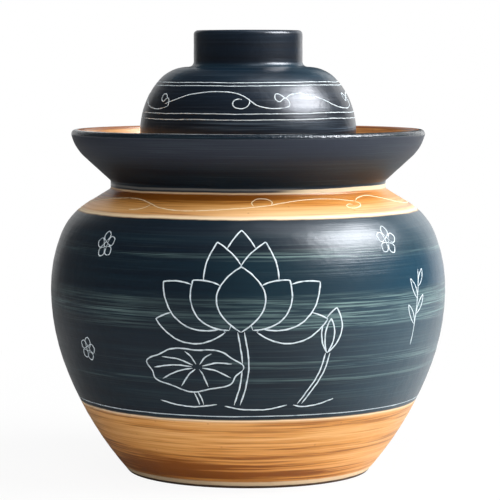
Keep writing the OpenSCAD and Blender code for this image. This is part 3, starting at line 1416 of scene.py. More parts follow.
    def dark_colour(self, bench: Bench, drawn: Value, height: Value, side: Value) -> Socket:
        """Mixes the colour of the dark glaze with the teal that is brushed on it, and with painted light and
        reflection.

        Args:
            bench: Bench of the material.
            drawn: Height in millimetres.
            height: The same with the brush's unevenness.
            side: Distance to the right in metres.

        Returns:
            The colour.
        """
        fine, broad, hair = (strokes.lay(bench)[0] for strokes in (self.fine, self.broad, self.hair))
        deep, wash, thinner = (region.share(bench, drawn, side) for region in (self.deep, self.wash, self.thinner))
        patchy = bench.at_least(0.3, bench.between(bench.noise(bench.place(), 9.0), 0.36, 0.56))
        # More brushed teal on the lit right and less on the shaded left, as painted light and shade
        lit_side_share = bench.math("ADD", self.teal_left.along(bench, side), self.teal_right.along(bench, side))
        shown = bench.sum_of(1.0, (deep, -self.deep_hides))
        strength = bench.times(self.teal_share(bench, height), patchy, lit_side_share, shown)
        strokes = bench.times(fine, bench.at_least(0.3, broad))
        strokes = bench.math("MAXIMUM", strokes, bench.times(hair, self.hairy.share(bench, height)))
        return bench.layers(
            self.navy,
            (bench.times(broad, bench.at_least(0.3, strength)), self.petrol),
            # Painted light: petrol and paler blues on the right of the belly
            (wash, self.petrol),
            (thinner, bench.mix(deep, self.thin, self.thick)),
            # Painted reflection: grey towards the top of the collar
            (self.collar.along(bench, drawn), self.ashy),
            (self.bead.along(bench, drawn), self.navy),
            (bench.times(strokes, strength), self.teal),
        )

    def work(self, bench: Bench) -> Surface:
        """Mixes the finish; see Finish.work."""
        place, drawn, side = bench.place(), bench.drawn_height(), bench.side()
        uneven = bench.math("SUBTRACT", bench.noise(place, 60.0, 3.0), 0.5)
        height = bench.math("ADD", bench.sum_of(drawn, (uneven, self.stray)), self.dip.share(bench, drawn, side))
        tan, pale, dark = self.masks(bench, height)
        skin, mottle = self.skin.lay(bench)
        # Painted shade on the waist's cream ring on the left, together with the random mottle
        shade_and_mottle = bench.math("MAXIMUM", self.waist_warm.share(bench, drawn, side), bench.times(mottle, 0.35))
        pale_colour = bench.mix(shade_and_mottle, self.cream, self.tan.light)
        specks = bench.times(self.specks.lay(bench), bench.sum_of(0.4, (dark, -0.4)))
        colour = bench.layers(
            self.tan_colour(bench, drawn, side),
            (pale, pale_colour),
            (dark, self.dark_colour(bench, drawn, height, side)),
            # Painted shade on the waist ring, grey on the left
            (self.waist_break.share(bench, height, side), self.worn),
            # Painted highlight on the lip
            (self.lip_rub.along(bench, height), self.rubbed),
            # Painted light: the cream ring of the waist wider on the right
            (self.waist_wiped.share(bench, height, side), pale_colour),
            # Painted shadow at the foot
            (self.foot_scorch.along(bench, height), self.scorched),
            (specks, self.tan.dark),
        )
        fine, broad = self.fine.lay(bench)[1], self.broad.lay(bench)[1]
        matt, bead = self.matt.share(bench, drawn), self.bead.along(bench, drawn)
        roughness = bench.sum_of(0.27, (dark, -0.02), (pale, 0.2), (matt, 0.16), (bead, -0.14), (fine, 0.16))
        grit = bench.times(bead, bench.noise(place, 620.0, 2.0, 0.7))
        waves = bench.times(bench.noise(place, 95.0, 2.0, 0.55), self.wavy.along(bench, drawn))
        bumps = bench.sum_of(0.0, (skin, 0.35), (fine, 0.5), (broad, 0.6), (waves, 1.1), (grit, 2.4))
        return Surface(colour, roughness, bumps, 0.0002)


@dataclass(frozen=True)
class MoatGlaze(Finish):
    """Honey-brown glaze inside the collar and the moat, with a redder line along the lip."""

    name: str = "moat_glaze"
    tan: TanCoat = TanCoat(srgb(158, 92, 40), srgb(222, 158, 94), srgb(242, 194, 136))
    lip: Colour = srgb(140, 84, 58)
    pool: Fade = Fade(186.0, 179.0, 0.0, 0.3)
    lip_line: Fade = Fade(206.9, 207.6, 0.0, 0.85)
    skin: Skin = Skin(380.0, 16.0)
    specks: Specks = Specks(240.0, 0.08, 0.3)

    def work(self, bench: Bench) -> Surface:
        """Mixes the finish; see Finish.work."""
        drawn = bench.drawn_height()
        colour, streaks = self.tan.lay(bench, self.pool.along(bench, drawn))
        skin, mottle = self.skin.lay(bench)
        edge = self.lip_line.along(bench, bench.sum_of(drawn, (mottle, 1.4)))
        colour = bench.layers(colour, (edge, self.lip), (bench.times(self.specks.lay(bench), 0.5), self.tan.dark))
        roughness = bench.sum_of(0.26, (streaks, 0.12))
        return Surface(colour, roughness, bench.sum_of(skin, (streaks, 0.5)), 0.00015)


@dataclass(frozen=True)
class BrownGlaze(Finish):
    """Dark amber glaze inside the crock and the lid and on the saucer, with bare clay where pieces touch."""

    thick: Colour = srgb(74, 40, 20)
    thin: Colour = srgb(142, 86, 42)
    bare: Colour = BARE_CLAY
    # Height in millimetres below which the clay is bare, where it is bare at all
    bare_below: float = 0.0
    skin: Skin = Skin(300.0, 22.0)
    streaks: Strokes = Strokes(7.0, 260.0, 2.0, 0.3, 0.75)
    specks: Specks = Specks(300.0, 0.16, 0.32)

    def work(self, bench: Bench) -> Surface:
        """Mixes the finish; see Finish.work."""
        skin, mottle = self.skin.lay(bench)
        mask, streaks = self.streaks.lay(bench)
        clouds = bench.between(mottle, 0.45, 0.7, 0.0, 0.6)
        specks = bench.times(self.specks.lay(bench), 0.6)
        colour = bench.layers(self.thick, (mask, self.thin), (clouds, self.thin), (specks, self.thick))
        roughness = bench.sum_of(0.2, (streaks, 0.14))
        if self.bare_below:
            edge = bench.sum_of(bench.drawn_height(), (mottle, 1.2))
            naked = bench.between(edge, self.bare_below + 0.9, self.bare_below + 0.3)
            colour = bench.mix(naked, colour, self.bare)
            roughness = bench.sum_of(roughness, (naked, 0.4))
        return Surface(colour, roughness, bench.sum_of(skin, (streaks, 0.6)), 0.0002)


@dataclass(frozen=True)
class LidGlaze(Finish):
    """Dark blue glaze of the lid, greener on the crown and streaked low on the skirt."""

    name: str = "lid_outside_glaze"
    tint: Colour = (0.78, 0.88, 1.0, 1.0)
    night: Colour = srgb(8, 14, 24)
    navy: Colour = srgb(13, 27, 41)
    crown: Colour = srgb(14, 46, 62)
    streak: Colour = srgb(104, 124, 142)
    bare: Colour = BARE_CLAY
    skin: Skin = Skin(400.0, 12.0)
    fine: Strokes = Strokes(10.0, 800.0, 6.0, 0.5, 0.75)
    broad: Strokes = Strokes(6.0, 240.0, 9.0, 0.35, 0.7)
    # Heights in millimetres of the greener crown, the streaked foot of the dome and the bare edge of the skirt
    greener: Region = Region((Fade(236.0, 240.0), Fade(249.0, 247.0)))
    streaked: Fade = Fade(215.5, 212.0, 0.1, 0.6)
    naked: Fade = Fade(181.4, 180.8)

    def work(self, bench: Bench) -> Surface:
        """Mixes the finish; see Finish.work."""
        drawn = bench.drawn_height()
        skin, mottle = self.skin.lay(bench)
        fine_mask, fine = self.fine.lay(bench)
        broad_mask, broad = self.broad.lay(bench)
        greener = bench.times(self.greener.share(bench, drawn), bench.between(mottle, 0.3, 0.65))
        streaked = bench.times(fine_mask, self.streaked.along(bench, drawn))
        naked = self.naked.along(bench, bench.sum_of(drawn, (mottle, 1.0)))
        coats = ((broad_mask, self.navy), (greener, self.crown), (streaked, self.streak), (naked, self.bare))
        roughness = bench.sum_of(0.24, (fine, 0.16), (naked, 0.4))
        waves = bench.noise(bench.place(), 120.0, 2.0, 0.55)
        bumps = bench.sum_of(0.0, (skin, 0.4), (fine, 0.35), (broad, 0.5), (waves, 1.3))
        return Surface(bench.layers(self.night, *coats), roughness, bumps, 0.00018)


@dataclass(frozen=True)
class ScratchedClay(Finish):
    """Pale clay in a scratched line, chalky and broken.

    Attributes:
        fresh: Colour where the scratch is clean.
        dull: Colour where some glaze is left in it.
        gap: Noise from which glaze is left in the line.
    """

    refraction: float = 1.45
    fresh: Colour = srgb(214, 226, 232)
    dull: Colour = srgb(128, 146, 158)
    gap: Fade = Fade(0.52, 0.75, 0.0, 0.85)

    def work(self, bench: Bench) -> Surface:
        """Mixes the finish; see Finish.work."""
        place = bench.place()
        grit = bench.noise(place, 700.0, 4.0, 0.7)
        gaps = self.gap.along(bench, bench.noise(place, 170.0, 3.0, 0.6))
        colour = bench.layers(self.fresh, (gaps, self.dull), (bench.between(grit, 0.5, 0.8, 0.0, 0.5), self.dull))
        return Surface(colour, bench.sum_of(0.55, (grit, 0.3)), grit, 0.0001)


@dataclass(frozen=True)
class BareStoneware:
    """Unglazed fired clay of the weights, with the plain material that the frame has for it."""

    name: str = "bare_stoneware"

    def material(self) -> bpy.types.Material:
        """Returns the frame's material."""
        return bpy.data.materials[self.name]


CLAY_ON_BLUE = ScratchedClay("scratch_on_blue")
CLAY_ON_TAN = ScratchedClay("scratch_on_tan", fresh=srgb(255, 240, 205), dull=srgb(238, 198, 140))


@dataclass
class CrockShell:
    """The thrown crock: foot, belly, neck, water moat, collar and mouth are one piece of clay."""

    belly_z: float = 111.6
    foot_r: float = 74.7
    neck_r: float = 83.9
    neck_z: float = 172.1
    waist_z: float = 176.9
    waist_round: float = 2.0
    wall: float = 7.5
    floor_z: float = 10.5
    foot_recess: float = 2.5
    foot_ring_w: float = 12.0
    recess_slope: float = 3.0
    foot_edge: float = 0.9
    rim_r: float = 108.0
    rim_z: float = 208.1
    lip_out: float = 1.4
    lip_bead: float = 2.8
    lip_in: float = 2.0
    collar_wall: float = 6.0
    collar_r: float = 26.7
    collar_lean: float = 9.9
    moat_z: float = 179.0
    bore_r: float = 47.0
    mouth_r: float = 53.0
    mouth_flare: float = 2.5
    mouth_flare_h: float = 10.0
    # How the arcs of the belly depart from one plain arc, below and above its widest ring
    low_r_share: float = 0.87
    low_turn_share: float = 0.45
    high_r_share: float = 1.3
    high_turn_share: float = 0.355
    shoulder_r_share: float = 0.824
    arch_round: float = 9.0
    floor_round: float = 8.0
    corner_round: float = 4.0
    # The wheel marks start just outside the foot's flat face
    foot_kept: float = 0.6
    line: float = 0.75
    segments: int = 288

    def __post_init__(self) -> None:
        """Takes the widest ring and the mouth's height from the frame."""
        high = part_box("crock_body")[1]
        self.belly_r, self.mouth_z = high.x / MM, high.z / MM

    def runs(self) -> list[tuple[Zone, list]]:
        """Draws the outline from the middle of the foot round the outside, the moat and the inside.

        Returns:
            The stretches of the outline with the zone of each.
        """
        foot = np.array([self.foot_r, self.foot_edge])
        neck, waist = np.array([self.neck_r, self.neck_z]), np.array([self.neck_r, self.waist_z])
        dx, dz = self.belly_r - self.foot_r, self.belly_z - self.foot_edge
        low_r = (dx * dx + dz * dz) / (2 * dx) * self.low_r_share
        low_turn = 2 * math.degrees(math.atan(dx / dz)) * self.low_turn_share
        low_c = np.array([self.belly_r - low_r, self.belly_z])
        low_end = low_c + low_r * polar(-low_turn)
        base_r = arc_through(low_end, -low_turn, foot)
        base_c = low_end - base_r * polar(-low_turn)
        foot_turn = math.degrees(math.asin((base_c[1] - self.foot_edge) / base_r))
        dx, dz = self.belly_r - self.neck_r, self.neck_z - self.belly_z
        high_r = (dx * dx + dz * dz) / (2 * dx) * self.high_r_share
        high_turn = 2 * math.degrees(math.atan(dx / dz)) * self.high_turn_share
        high_c = np.array([self.belly_r - high_r, self.belly_z])
        high_end = high_c + high_r * polar(high_turn)
        shoulder_r = arc_through(high_end, high_turn, neck) * self.shoulder_r_share
        shoulder_c = high_end - shoulder_r * polar(high_turn)
        shoulder_turn = touch(shoulder_c, shoulder_r, neck, -1)
        shoulder_end = shoulder_c + shoulder_r * polar(shoulder_turn)
        lip_out_c = np.array([self.rim_r - self.lip_out, self.rim_z - self.lip_out])
        collar_c = lip_out_c - (self.collar_r - self.lip_out) * polar(-self.collar_lean)
        collar_turn = touch(collar_c, self.collar_r, waist, 1)
        collar_end = collar_c + self.collar_r * polar(collar_turn)
        bead_reach = self.collar_r - self.lip_bead
        bead_lean = math.degrees(math.asin((collar_c[1] - self.rim_z + self.lip_bead) / bead_reach))
        bead_c = collar_c + bead_reach * polar(-bead_lean)
        inner_r = self.collar_r - self.collar_wall
        lip_reach = inner_r + self.lip_in
        lip_lean = math.degrees(math.asin((collar_c[1] - self.rim_z + self.lip_in) / lip_reach))
        lip_in_c = collar_c + lip_reach * polar(-lip_lean)
        moat_end = collar_c + inner_r * polar(collar_turn)
        moat_drop = (moat_end[1] - self.moat_z) / (collar_end[1] - self.waist_z)
        moat_corner = moat_end + (waist - collar_end) * moat_drop
        arch_z = self.moat_z - self.wall
        arch_corner = np.array([moat_corner[0] - self.wall, arch_z])
        arch_turn = touch(shoulder_c, shoulder_r - self.wall, arch_corner, -1)
        arch_end = shoulder_c + (shoulder_r - self.wall) * polar(arch_turn)
        floor_reach = base_r - self.wall - self.floor_round
        floor_turn = math.degrees(math.asin((base_c[1] - self.floor_z - self.floor_round) / floor_reach))
        floor_c = base_c + floor_reach * polar(-floor_turn)
        mouth_foot, mouth_top = (self.mouth_r, self.moat_z), (self.mouth_r, self.mouth_z)
        bore_foot, lip = (self.bore_r, arch_z), (self.mouth_r - self.bore_r - self.mouth_flare) / 2
        lip_c = np.array([self.mouth_r - lip, self.mouth_z - lip])
        return [
            (Zone.OUTSIDE, [
                (0, self.foot_recess),
                (self.foot_r - self.foot_ring_w - self.recess_slope, self.foot_recess),
                (self.foot_r - self.foot_ring_w, 0),
                (self.foot_r - self.foot_edge, 0),
                *arc(base_c, base_r, -foot_turn, -low_turn),
                *arc(low_c, low_r, -low_turn, 0),
                *arc(high_c, high_r, 0, high_turn),
                *arc(shoulder_c, shoulder_r, high_turn, shoulder_turn),
                *rounded(shoulder_end, neck, waist, self.waist_round),
            ]),
            (Zone.COLLAR, [
                *rounded(neck, waist, collar_end, self.waist_round),
                *arc(collar_c, self.collar_r, collar_turn, -bead_lean),
            ]),
            (Zone.OUTSIDE, arc(bead_c, self.lip_bead, -bead_lean, 90)),
            (Zone.MOAT, [
                *arc(lip_in_c, self.lip_in, 90, 180 - lip_lean),
                *arc(collar_c, inner_r, -lip_lean, collar_turn),
                *rounded(moat_end, moat_corner, mouth_foot, self.corner_round),
                *rounded(moat_corner, mouth_foot, mouth_top, self.corner_round),
                *arc(lip_c, lip, 0, 90),
            ]),
            (Zone.INSIDE, [
                *arc(lip_c, lip, 90, 180),
                (self.bore_r, self.mouth_z - self.mouth_flare_h),
                *rounded((self.bore_r, self.mouth_z), bore_foot, arch_corner, self.corner_round),
                *rounded(bore_foot, arch_corner, arch_end, self.arch_round),
                *arc(shoulder_c, shoulder_r - self.wall, arch_turn, high_turn),
                *arc(high_c, high_r - self.wall, high_turn, 0),
                *arc(low_c, low_r - self.wall, 0, -low_turn),
                *arc(base_c, base_r - self.wall, -low_turn, -floor_turn),
                *arc(floor_c, self.floor_round, -floor_turn, -90),
                (0, self.floor_z),
            ]),
        ]

    def grooves(self) -> tuple[Groove, ...]:
        """Returns the scraped rings that part the bands of glaze, and the scratched ring above the lowest."""
        return (
            Groove(43.8, 1.5, 0.12, flat=0.6, lined=False),
            Groove(46.9, 0.7, 0.25),
            Groove(160.1, 1.9, 0.12, flat=0.6, lined=False),
        )

    def vine(self, work: LineWork) -> None:
        """Scratches the running vine of the shoulder: two lengths of it go round the pot.

        Args:
            work: The line work that takes it.
        """
        wave = [
            (-52, 169.5), (-44, 168.9), (-37, 166.8), (-32, 165), (-23, 163.8), (-12, 164.5), (1, 166), (8, 167),
            (11, 167.8), (19, 169.3), (27, 169.9), (35, 169.5), (40.5, 168.5), (43.4, 167.9),
        ]
        curl = [
            (43.4, 167.9), (44.6, 166.7), (43.5, 165.3), (40, 164.4), (37.7, 164.9), (37.4, 165.9), (38.9, 166.6),
            (40.6, 166.3),
        ]
        loop = [(8.3, 167.2), (8.8, 168.8), (6.9, 170.3), (3.5, 170.4), (1.3, 168.5), (1.9, 166.6)]
        hook = [(-37, 166.8), (-38.5, 165.1), (-41, 163.9), (-45, 163.5)]
        branch = [
            (44, 168.2), (47.4, 169.7), (54, 170.4), (61, 168.8), (73, 165.2), (86, 164), (98, 164.8), (112, 167.6),
            (128, 169.5),
        ]
        for half in (0, 180):
            for line in (wave, curl, loop, hook, branch):
                work.stroke(line, self.line, half)

    def drawing(self, work: LineWork) -> None:
        """Scratches the drawing of the belly.

        Args:
            work: The line work that takes it.
        """
        flowers = (Floret(-46, 144, lean=8), Floret(-53, 82, lean=-14, reach=7.0), Floret(45, 146, lean=-6, reach=8.2))
        for figure in (PondMotif(), *flowers, Reed(55, 84)):
            figure.draw(work)

    def build(self) -> None:
        """Makes the crock and its line work."""
        form = TurnedForm(self.runs(), self.grooves(), start_depth=self.foot_r + self.foot_kept, seed=11)
        # In the order of the zones
        glazes = (OutsideGlaze(), MoatGlaze(), BrownGlaze("inside_glaze"), OutsideGlaze("collar_glaze", gloss=0.2))
        dress(form.build("crock_shell", self.segments), glazes, Body.CROCK, ("crock_body",))
        rings = LineWork(form, "belly_ring_line", seed=21)
        rings.rings()
        drawing = LineWork(form, "belly_drawing", seed=22)
        self.drawing(drawing)
        vine = LineWork(form, "shoulder_vine", seed=23)
        self.vine(vine)
        for work, clay in ((rings, CLAY_ON_BLUE), (drawing, CLAY_ON_BLUE), (vine, CLAY_ON_TAN)):
            dress(work.build(), (clay,), Body.CROCK)


@dataclass
class OuterLid:
    """Inverted bowl that stands in the moat over the mouth, with a hollow ring knob."""

    wall: float = 6.0
    dome_z: float = 206.6
    dome_top: float = 246.0
    dome_turn: float = 40.0
    skirt_edge: float = 1.5
    knob_r: float = 33.2
    knob_foot_round: float = 3.0
    knob_wall: float = 7.0
    knob_hollow: float = 19.0
    knob_edge_out: float = 2.6
    knob_edge_in: float = 2.0
    hollow_round: float = 5.0
    # Height above the skirt's foot up to which its inside is bare
    bare_foot: float = 1.6
    ring_heights: tuple = (236.9, 235.0, 218.7, 215.2)
    line: float = 0.75

    def __post_init__(self) -> None:
        """Takes its width, foot and top from the frame."""
        low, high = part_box("outer_lid")
        self.lid_r, self.lid_z, self.knob_top = high.x / MM, low.z / MM, high.z / MM

    def runs(self) -> list[tuple[Zone, list]]:
        """Draws the outline from the middle of its inside down the skirt, up the outside and into the knob.

        Returns:
            The stretches of the outline with the zone of each.
        """
        crown_r = self.knob_r + self.knob_foot_round
        side, crown = dome_radii(self.lid_r - crown_r, self.dome_top - self.dome_z, self.dome_turn)
        side_c = np.array([self.lid_r - side, self.dome_z])
        crown_c = side_c + (side - crown) * polar(self.dome_turn)
        hollow_r, hollow_z = self.knob_r - self.knob_wall, self.knob_top - self.knob_hollow
        edge, out, inn = self.skirt_edge, self.knob_edge_out, self.knob_edge_in
        knob_foot, knob_top = (self.knob_r, self.dome_top), (self.knob_r, self.knob_top)
        return [
            (Zone.INSIDE, [
                (0, self.dome_top - self.wall),
                *arc(crown_c, crown - self.wall, 90, self.dome_turn),
                *arc(side_c, side - self.wall, self.dome_turn, 0),
                *arc(np.array([self.lid_r - self.wall + edge, self.lid_z + edge]), edge, 180, 270),
            ]),
            (Zone.OUTSIDE, [
                *arc(np.array([self.lid_r - edge, self.lid_z + edge]), edge, -90, 0),
                *arc(side_c, side, 0, self.dome_turn),
                *arc(crown_c, crown, self.dome_turn, 90),
                *rounded((self.lid_r, self.dome_top), knob_foot, knob_top, self.knob_foot_round),
                *arc(np.array([self.knob_r - out, self.knob_top - out]), out, 0, 90),
                *arc(np.array([hollow_r + inn, self.knob_top - inn]), inn, 90, 180),
                *rounded((hollow_r, self.knob_top), (hollow_r, hollow_z), (0, hollow_z), self.hollow_round),
                (0, hollow_z),
            ]),
        ]

    def vine(self, work: LineWork) -> None:
        """Scratches the running vine of the dome: two long sprays and four short ones go round.

        Args:
            work: The line work that takes it.
        """
        wave = [
            (-73.5, 224.2), (-65, 227), (-56.4, 229.6), (-47.5, 231), (-39, 231.7), (-32, 231.4), (-27, 230.6),
            (-23, 228.8), (-20, 226.5), (-16, 223.6), (-10, 221.9), (-6, 221.7), (-1.5, 222),
        ]
        spiral = [
            (-20.5, 227.7), (-20.2, 225.4), (-21.6, 223), (-24.7, 221.9), (-28, 222.5), (-29.4, 224.5),
            (-28.7, 226.5), (-26.5, 227.4), (-24.3, 227.2),
        ]
        short = [
            (-54, 227.4), (-51, 229.4), (-46.3, 230.4), (-42, 230.2), (-31, 227.2), (-21, 223.2), (-14, 221.6),
            (-6, 221.2), (-1.5, 222),
        ]
        curl = [
            (-1.5, 222), (1.7, 223.2), (1.6, 226), (-0.3, 227.9), (-3.5, 225.6), (-5.7, 226.8), (-6.1, 228.5),
            (-5.2, 230.1), (-2.9, 229.8), (0, 227.4),
        ]
        long_spray, short_spray = (wave, spiral, curl), (short, curl)
        ends = ((21, long_spray), (75, short_spray), (129, short_spray))
        ends += ((183, short_spray), (255, long_spray), (309, short_spray))
        for end, spray in ends:
            for line in spray:
                work.stroke(line, self.line, end)

    def build(self) -> None:
        """Makes the lid and its line work."""
        grooves = tuple(Groove(height, 0.6, 0.2) for height in self.ring_heights)
        form = TurnedForm(self.runs(), grooves, wander=0.4, seed=12)
        inside_glaze = BrownGlaze("lid_inside_glaze", bare_below=self.lid_z + self.bare_foot)
        # In the order of the zones, with none in the moat
        glazes = (LidGlaze(), LidGlaze(), inside_glaze)
        dress(form.build("outer_lid_dome"), glazes, Body.OUTER_LID, ("outer_lid",))
        rings = LineWork(form, "lid_ring_lines", seed=31)
        rings.rings()
        vine = LineWork(form, "lid_vine", seed=32)
        self.vine(vine)
        for work in (rings, vine):
            dress(work.build(), (CLAY_ON_BLUE,), Body.OUTER_LID)


@dataclass
class InnerLid:
    """Saucer that closes the mouth, with a dish that hangs into it and a button to lift it by."""

    flange_z: float = 212.2
    thick: float = 5.0
    dish_r: float = 44.5
    edge: float = 1.6
    bend_round: float = 3.0
    button_r: float = 11.0
    button_h: float = 8.0
    stem_r: float = 7.0
    stem_round: float = 2.5
    button_round: float = 2.6
    # Degrees that the dish slopes
    slope: float = 45.0
    segments: int = 160

    def __post_init__(self) -> None:
        """Takes its width, foot and top from the frame."""
        low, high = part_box("inner_lid")
        self.rim_r, self.dish_z, self.button_top = high.x / MM, low.z / MM, high.z / MM

    def runs(self) -> list[tuple[Zone, list]]:
        """Draws the outline from the middle of the dish's underside round its rim and up the button.

        Returns:
            The one stretch of the outline, with its zone.
        """
        drop = self.flange_z - self.dish_z
        foot_r = self.dish_r - drop
        flange_top, dish_top = self.flange_z + self.thick, self.dish_z + self.thick
        bend = self.thick * math.tan(math.radians(self.slope / 2))
        button_z = self.button_top - self.button_h
        edge_c = self.rim_r - self.edge
        round_c = self.button_r - self.button_round
        dish_in, dish_foot = (self.dish_r - bend, flange_top), (foot_r - bend, dish_top)
        stem_foot, stem_top = (self.stem_r, dish_top), (self.stem_r, button_z)
        return [
            (Zone.OUTSIDE, [
                (0, self.dish_z),
                *rounded((0, self.dish_z), (foot_r, self.dish_z), (self.dish_r, self.flange_z), self.bend_round),
                (self.dish_r, self.flange_z),
                *arc(np.array([edge_c, self.flange_z + self.edge]), self.edge, -90, 0),
                *arc(np.array([edge_c, flange_top - self.edge]), self.edge, 0, 90),
                dish_in,
                *rounded(dish_in, dish_foot, stem_foot, self.bend_round),
                *rounded((self.dish_r, dish_top), stem_foot, stem_top, self.stem_round),
                *rounded(stem_foot, stem_top, (self.button_r, button_z), self.stem_round / 2),
                *arc(np.array([round_c, button_z + self.button_round]), self.button_round, -90, 0),
                *arc(np.array([round_c, self.button_top - self.button_round]), self.button_round, 0, 90),
                (0, self.button_top),
            ]),
        ]

    def build(self) -> None:
        """Makes the saucer."""
        form = TurnedForm(self.runs(), skin=0.08, ridge=0.1, wander=0.0, seed=13)
        saucer = form.build("inner_lid_saucer", self.segments)
        dress(saucer, (BrownGlaze("saucer_glaze"),), Body.INNER_LID, ("inner_lid",))


@dataclass
class WeightHalf:
    """Half of the round plate that keeps the food under the brine.

    Attributes:
        side: +1 or -1 for its side of X.
    """

    side: int
    gap: float = 1.0
    finger_r: float = 13.0
    edge: float = 3.0
    hole_edge: float = 1.2
    skin: float = 0.06
    # Width of the worn edges of its cut faces, in steps
    worn: float = 0.7
    worn_steps: int = 3
    worn_angle: float = 60.0
    steps: int = 120
    flat_steps: int = 14

    def section(self, outer: float, bottom: float, top: float) -> list[np.ndarray]:
        """Draws the section that is swept round.

        Args:
            outer: Its outer radius.
            bottom: Height of its underside.
            top: Height of its upper side.

        Returns:
            The points of the section.
        """
        e, h = self.edge, self.hole_edge
        rim, hole = outer - e, self.finger_r + self.skin + h
        shares = [k / self.flat_steps for k in range(1, self.flat_steps)]
        return [
            *arc(np.array([rim, bottom + e]), e, -90, 0),
            *arc(np.array([rim, top - e]), e, 0, 90),
            *[np.array([rim + (hole - rim) * share, top]) for share in shares],
            *arc(np.array([hole, top - h]), h, 90, 180),
            *arc(np.array([hole, bottom + h]), h, 180, 270),
            *[np.array([hole + (rim - hole) * share, bottom]) for share in shares],
        ]

    def build(self) -> None:
        """Makes the half plate as a section swept round between its two cut faces."""
        right = self.side > 0
        node = "weight_half_right" if right else "weight_half_left"
        low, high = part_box(node)
        outer = max(high.x, -low.x) / MM - self.skin
        section = self.section(outer, low.z / MM + self.skin, high.z / MM - self.skin)
        count, cut = len(section), self.gap / 2 + self.skin
        points, faces = [], []
        for i in range(self.steps + 1):
            share = 2 * i / self.steps - 1
            for radius, height in section:
                turn = share * math.acos(cut / radius)
                points.append((self.side * radius * math.cos(turn), self.side * radius * math.sin(turn), height))
        for i in range(self.steps):
            here, there = i * count, (i + 1) * count
            for k in range(count):
                n = (k + 1) % count
                faces.append((here + k, there + k, there + n, here + n))
        faces.append(tuple(range(count)))
        faces.append(tuple(self.steps * count + k for k in reversed(range(count))))
        piece = mesh_piece(node.replace("half", "plate"), np.array(points) * MM, faces)
        soften = piece.modifiers.new("worn_edges", "BEVEL")
        soften.width, soften.segments = self.worn * MM, self.worn_steps
        soften.limit_method, soften.angle_limit = "ANGLE", math.radians(self.worn_angle)
        body = Body.RIGHT_WEIGHT if right else Body.LEFT_WEIGHT
        dress(piece, (BareStoneware(),), body, (node,))


@dataclass(frozen=True)
class Softbox:
    """A soft studio lamp aimed at the crock.

    Attributes:
        name: Its name.
        azimuth: Degrees from the camera's side towards +X.
        elevation: Degrees above the ground.
        width: Width in metres.
        height: Height in metres.
        glow: Brightness of its face.
        mirrored: Whether it shows in reflections.
        lights: Whether it also lights the surfaces.
        distance: Distance from the crock in metres.
        colour: Colour of its light.
    """

    name: str
    azimuth: float
    elevation: float
    width: float
    height: float
    glow: float
    mirrored: bool = True
    lights: bool = True
    distance: float = 1.5
    colour: tuple[float, float, float] = (1.0, 1.0, 1.0)

    def build(self, target: Vector) -> None:
        """Hangs the lamp so that it faces the target.

        Args:
            target: The point that it faces.
        """
        lamp = bpy.data.lights.new(self.name, "AREA")
        lamp.shape, lamp.size, lamp.size_y = "RECTANGLE", self.width, self.height
        lamp.energy, lamp.color = self.glow * math.pi * self.width * self.height, self.colour
        a, e = math.radians(self.azimuth), math.radians(self.elevation)
        away = Vector((math.sin(a) * math.cos(e), -math.cos(a) * math.cos(e), math.sin(e)))
        holder = bpy.data.objects.new(self.name, lamp)
        holder.visible_glossy, holder.visible_diffuse = self.mirrored, self.lights
        holder.location = target + away * self.distance
        holder.rotation_mode = "QUATERNION"
        holder.rotation_quaternion = away.to_track_quat("Z", "Y")
        bpy.context.scene.collection.objects.link(holder)


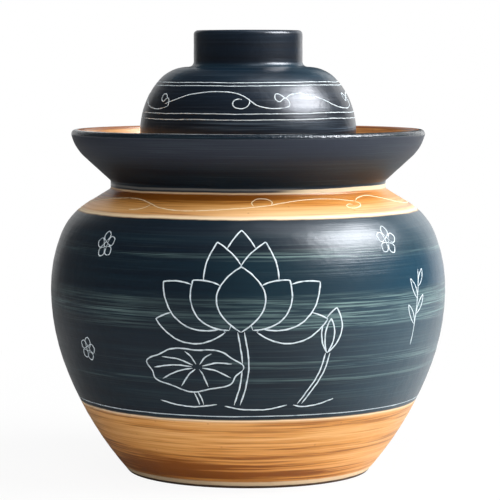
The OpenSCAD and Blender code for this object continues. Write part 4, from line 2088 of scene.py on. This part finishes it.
@dataclass
class Studio:
    """Pale floor, white background, soft lamps and the photograph's camera."""

    floor_half: float = 4.0
    floor_colour: Colour = srgb(236, 236, 236)
    ambient: float = 0.11
    # How strongly reflections show the world and the floor
    mirrored_world: float = 0.01
    mirrored_floor: float = 0.05
    # How white the floor is by its distance from the crock, so that the shadow is kept
    floor_glow: Fade = Fade(0.15, 0.6, 0.92, 1.0)
    # How much its reflection is dimmed, more to the left
    floor_dimming: Fade = Fade(-0.05, 0.25, 0.6, 0.0)
    lens: float = 169.2
    sensor: float = 36.0
    clip: tuple[float, float] = (0.05, 50.0)
    camera_back: float = 1.4335
    camera_z: float = 0.2486
    camera_pitch: float = 4.57
    camera_yaw: float = 0.046
    target: tuple[float, float, float] = (0.0, 0.0, 0.13)
    lamps: tuple[Softbox, ...] = (
        Softbox("key_softbox", 80, 41, 1.1, 0.75, 12.0),
        Softbox("key_gleam", 73, 40, 1.0, 0.62, 21.5, lights=False, colour=(1.0, 0.89, 0.83)),
        Softbox("high_gleam", 55, 72, 0.8, 0.7, 2.4, lights=False),
        Softbox("top_fill", -12, 62, 1.2, 1.2, 2.6, mirrored=False),
        Softbox("front_fill", 10, 22, 1.0, 1.0, 0.7, mirrored=False),
        Softbox("right_fill", 62, 6, 1.0, 0.6, 1.3, mirrored=False),
        Softbox("right_panel", 148, 6, 0.9, 1.4, 1.4),
        Softbox("left_card", -160, 6, 0.8, 1.4, 0.6),
    )

    def world(self) -> None:
        """Makes the world white to look at and dim as a light."""
        world = bpy.data.worlds.new("studio_world")
        bpy.context.scene.world = world
        bench = Bench.emptied(world)
        rays = bench.add("LightPath").outputs
        seen = bench.times(rays["Is Glossy Ray"], self.mirrored_world)
        for ray in ("Is Camera Ray", "Is Transmission Ray"):
            seen = bench.math("MAXIMUM", seen, rays[ray])
        dim = bench.add("Background", {"Color": WHITE, "Strength": self.ambient})
        white = bench.add("Background", {"Color": WHITE, "Strength": 1.0})
        both = bench.add("MixShader", {0: seen, 1: dim.outputs[0], 2: white.outputs[0]})
        bench.add("OutputWorld", {"Surface": both.outputs[0]})

    def floor(self) -> None:
        """Lays the floor, which stays near white to look at and keeps the crock's shadow."""
        half = self.floor_half
        corners = np.array([(-half, -half, 0), (half, -half, 0), (half, half, 0), (-half, half, 0)], float)
        floor = mesh_piece("studio_floor", corners, [(0, 1, 2, 3)])
        material = bpy.data.materials.new("pale_floor")
        bench = Bench.emptied(material)
        rays = bench.add("LightPath").outputs
        white = bench.math("MAXIMUM", rays["Is Camera Ray"], rays["Is Transmission Ray"])
        mirrored = rays["Is Glossy Ray"]
        away = bench.add("VectorMath", {0: bench.place()}, operation="LENGTH").outputs["Value"]
        glowing = bench.times(white, self.floor_glow.along(bench, away))
        dimmed = bench.times(mirrored, self.floor_dimming.along(bench, bench.side()))
        share = bench.math("MAXIMUM", glowing, dimmed)
        strength = bench.math("MAXIMUM", white, bench.times(mirrored, self.mirrored_floor))
        matte = bench.add("BsdfDiffuse", {"Color": self.floor_colour})
        glow = bench.add("Emission", {"Color": WHITE, "Strength": strength})
        both = bench.add("MixShader", {0: share, 1: matte.outputs[0], 2: glow.outputs[0]})
        bench.add("OutputMaterial", {"Surface": both.outputs[0]})
        floor.data.materials.append(material)

    def camera(self) -> None:
        """Sets up the camera where the photograph's was."""
        lens = bpy.data.cameras.new("photo_camera")
        lens.lens, lens.sensor_width = self.lens, self.sensor
        lens.clip_start, lens.clip_end = self.clip
        holder = bpy.data.objects.new("photo_camera", lens)
        holder.location = (0.0, -self.camera_back, self.camera_z)
        holder.rotation_euler = (math.radians(90 - self.camera_pitch), 0.0, -math.radians(self.camera_yaw))
        bpy.context.scene.collection.objects.link(holder)
        bpy.context.scene.camera = holder

    def build(self) -> None:
        """Sets up everything around the crock."""
        bpy.context.scene.view_settings.view_transform = "Standard"
        self.camera()
        self.world()
        self.floor()
        for lamp in self.lamps:
            lamp.build(Vector(self.target))


def main() -> None:
    """Builds the crock, its lids, its weights and the studio."""
    logging.basicConfig(level=logging.INFO, format="%(name)s: %(message)s")
    for part in (CrockShell(), OuterLid(), InnerLid(), WeightHalf(-1), WeightHalf(1)):
        part.build()
    Studio().build()
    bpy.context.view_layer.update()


if __name__ == "__main__":
    main()
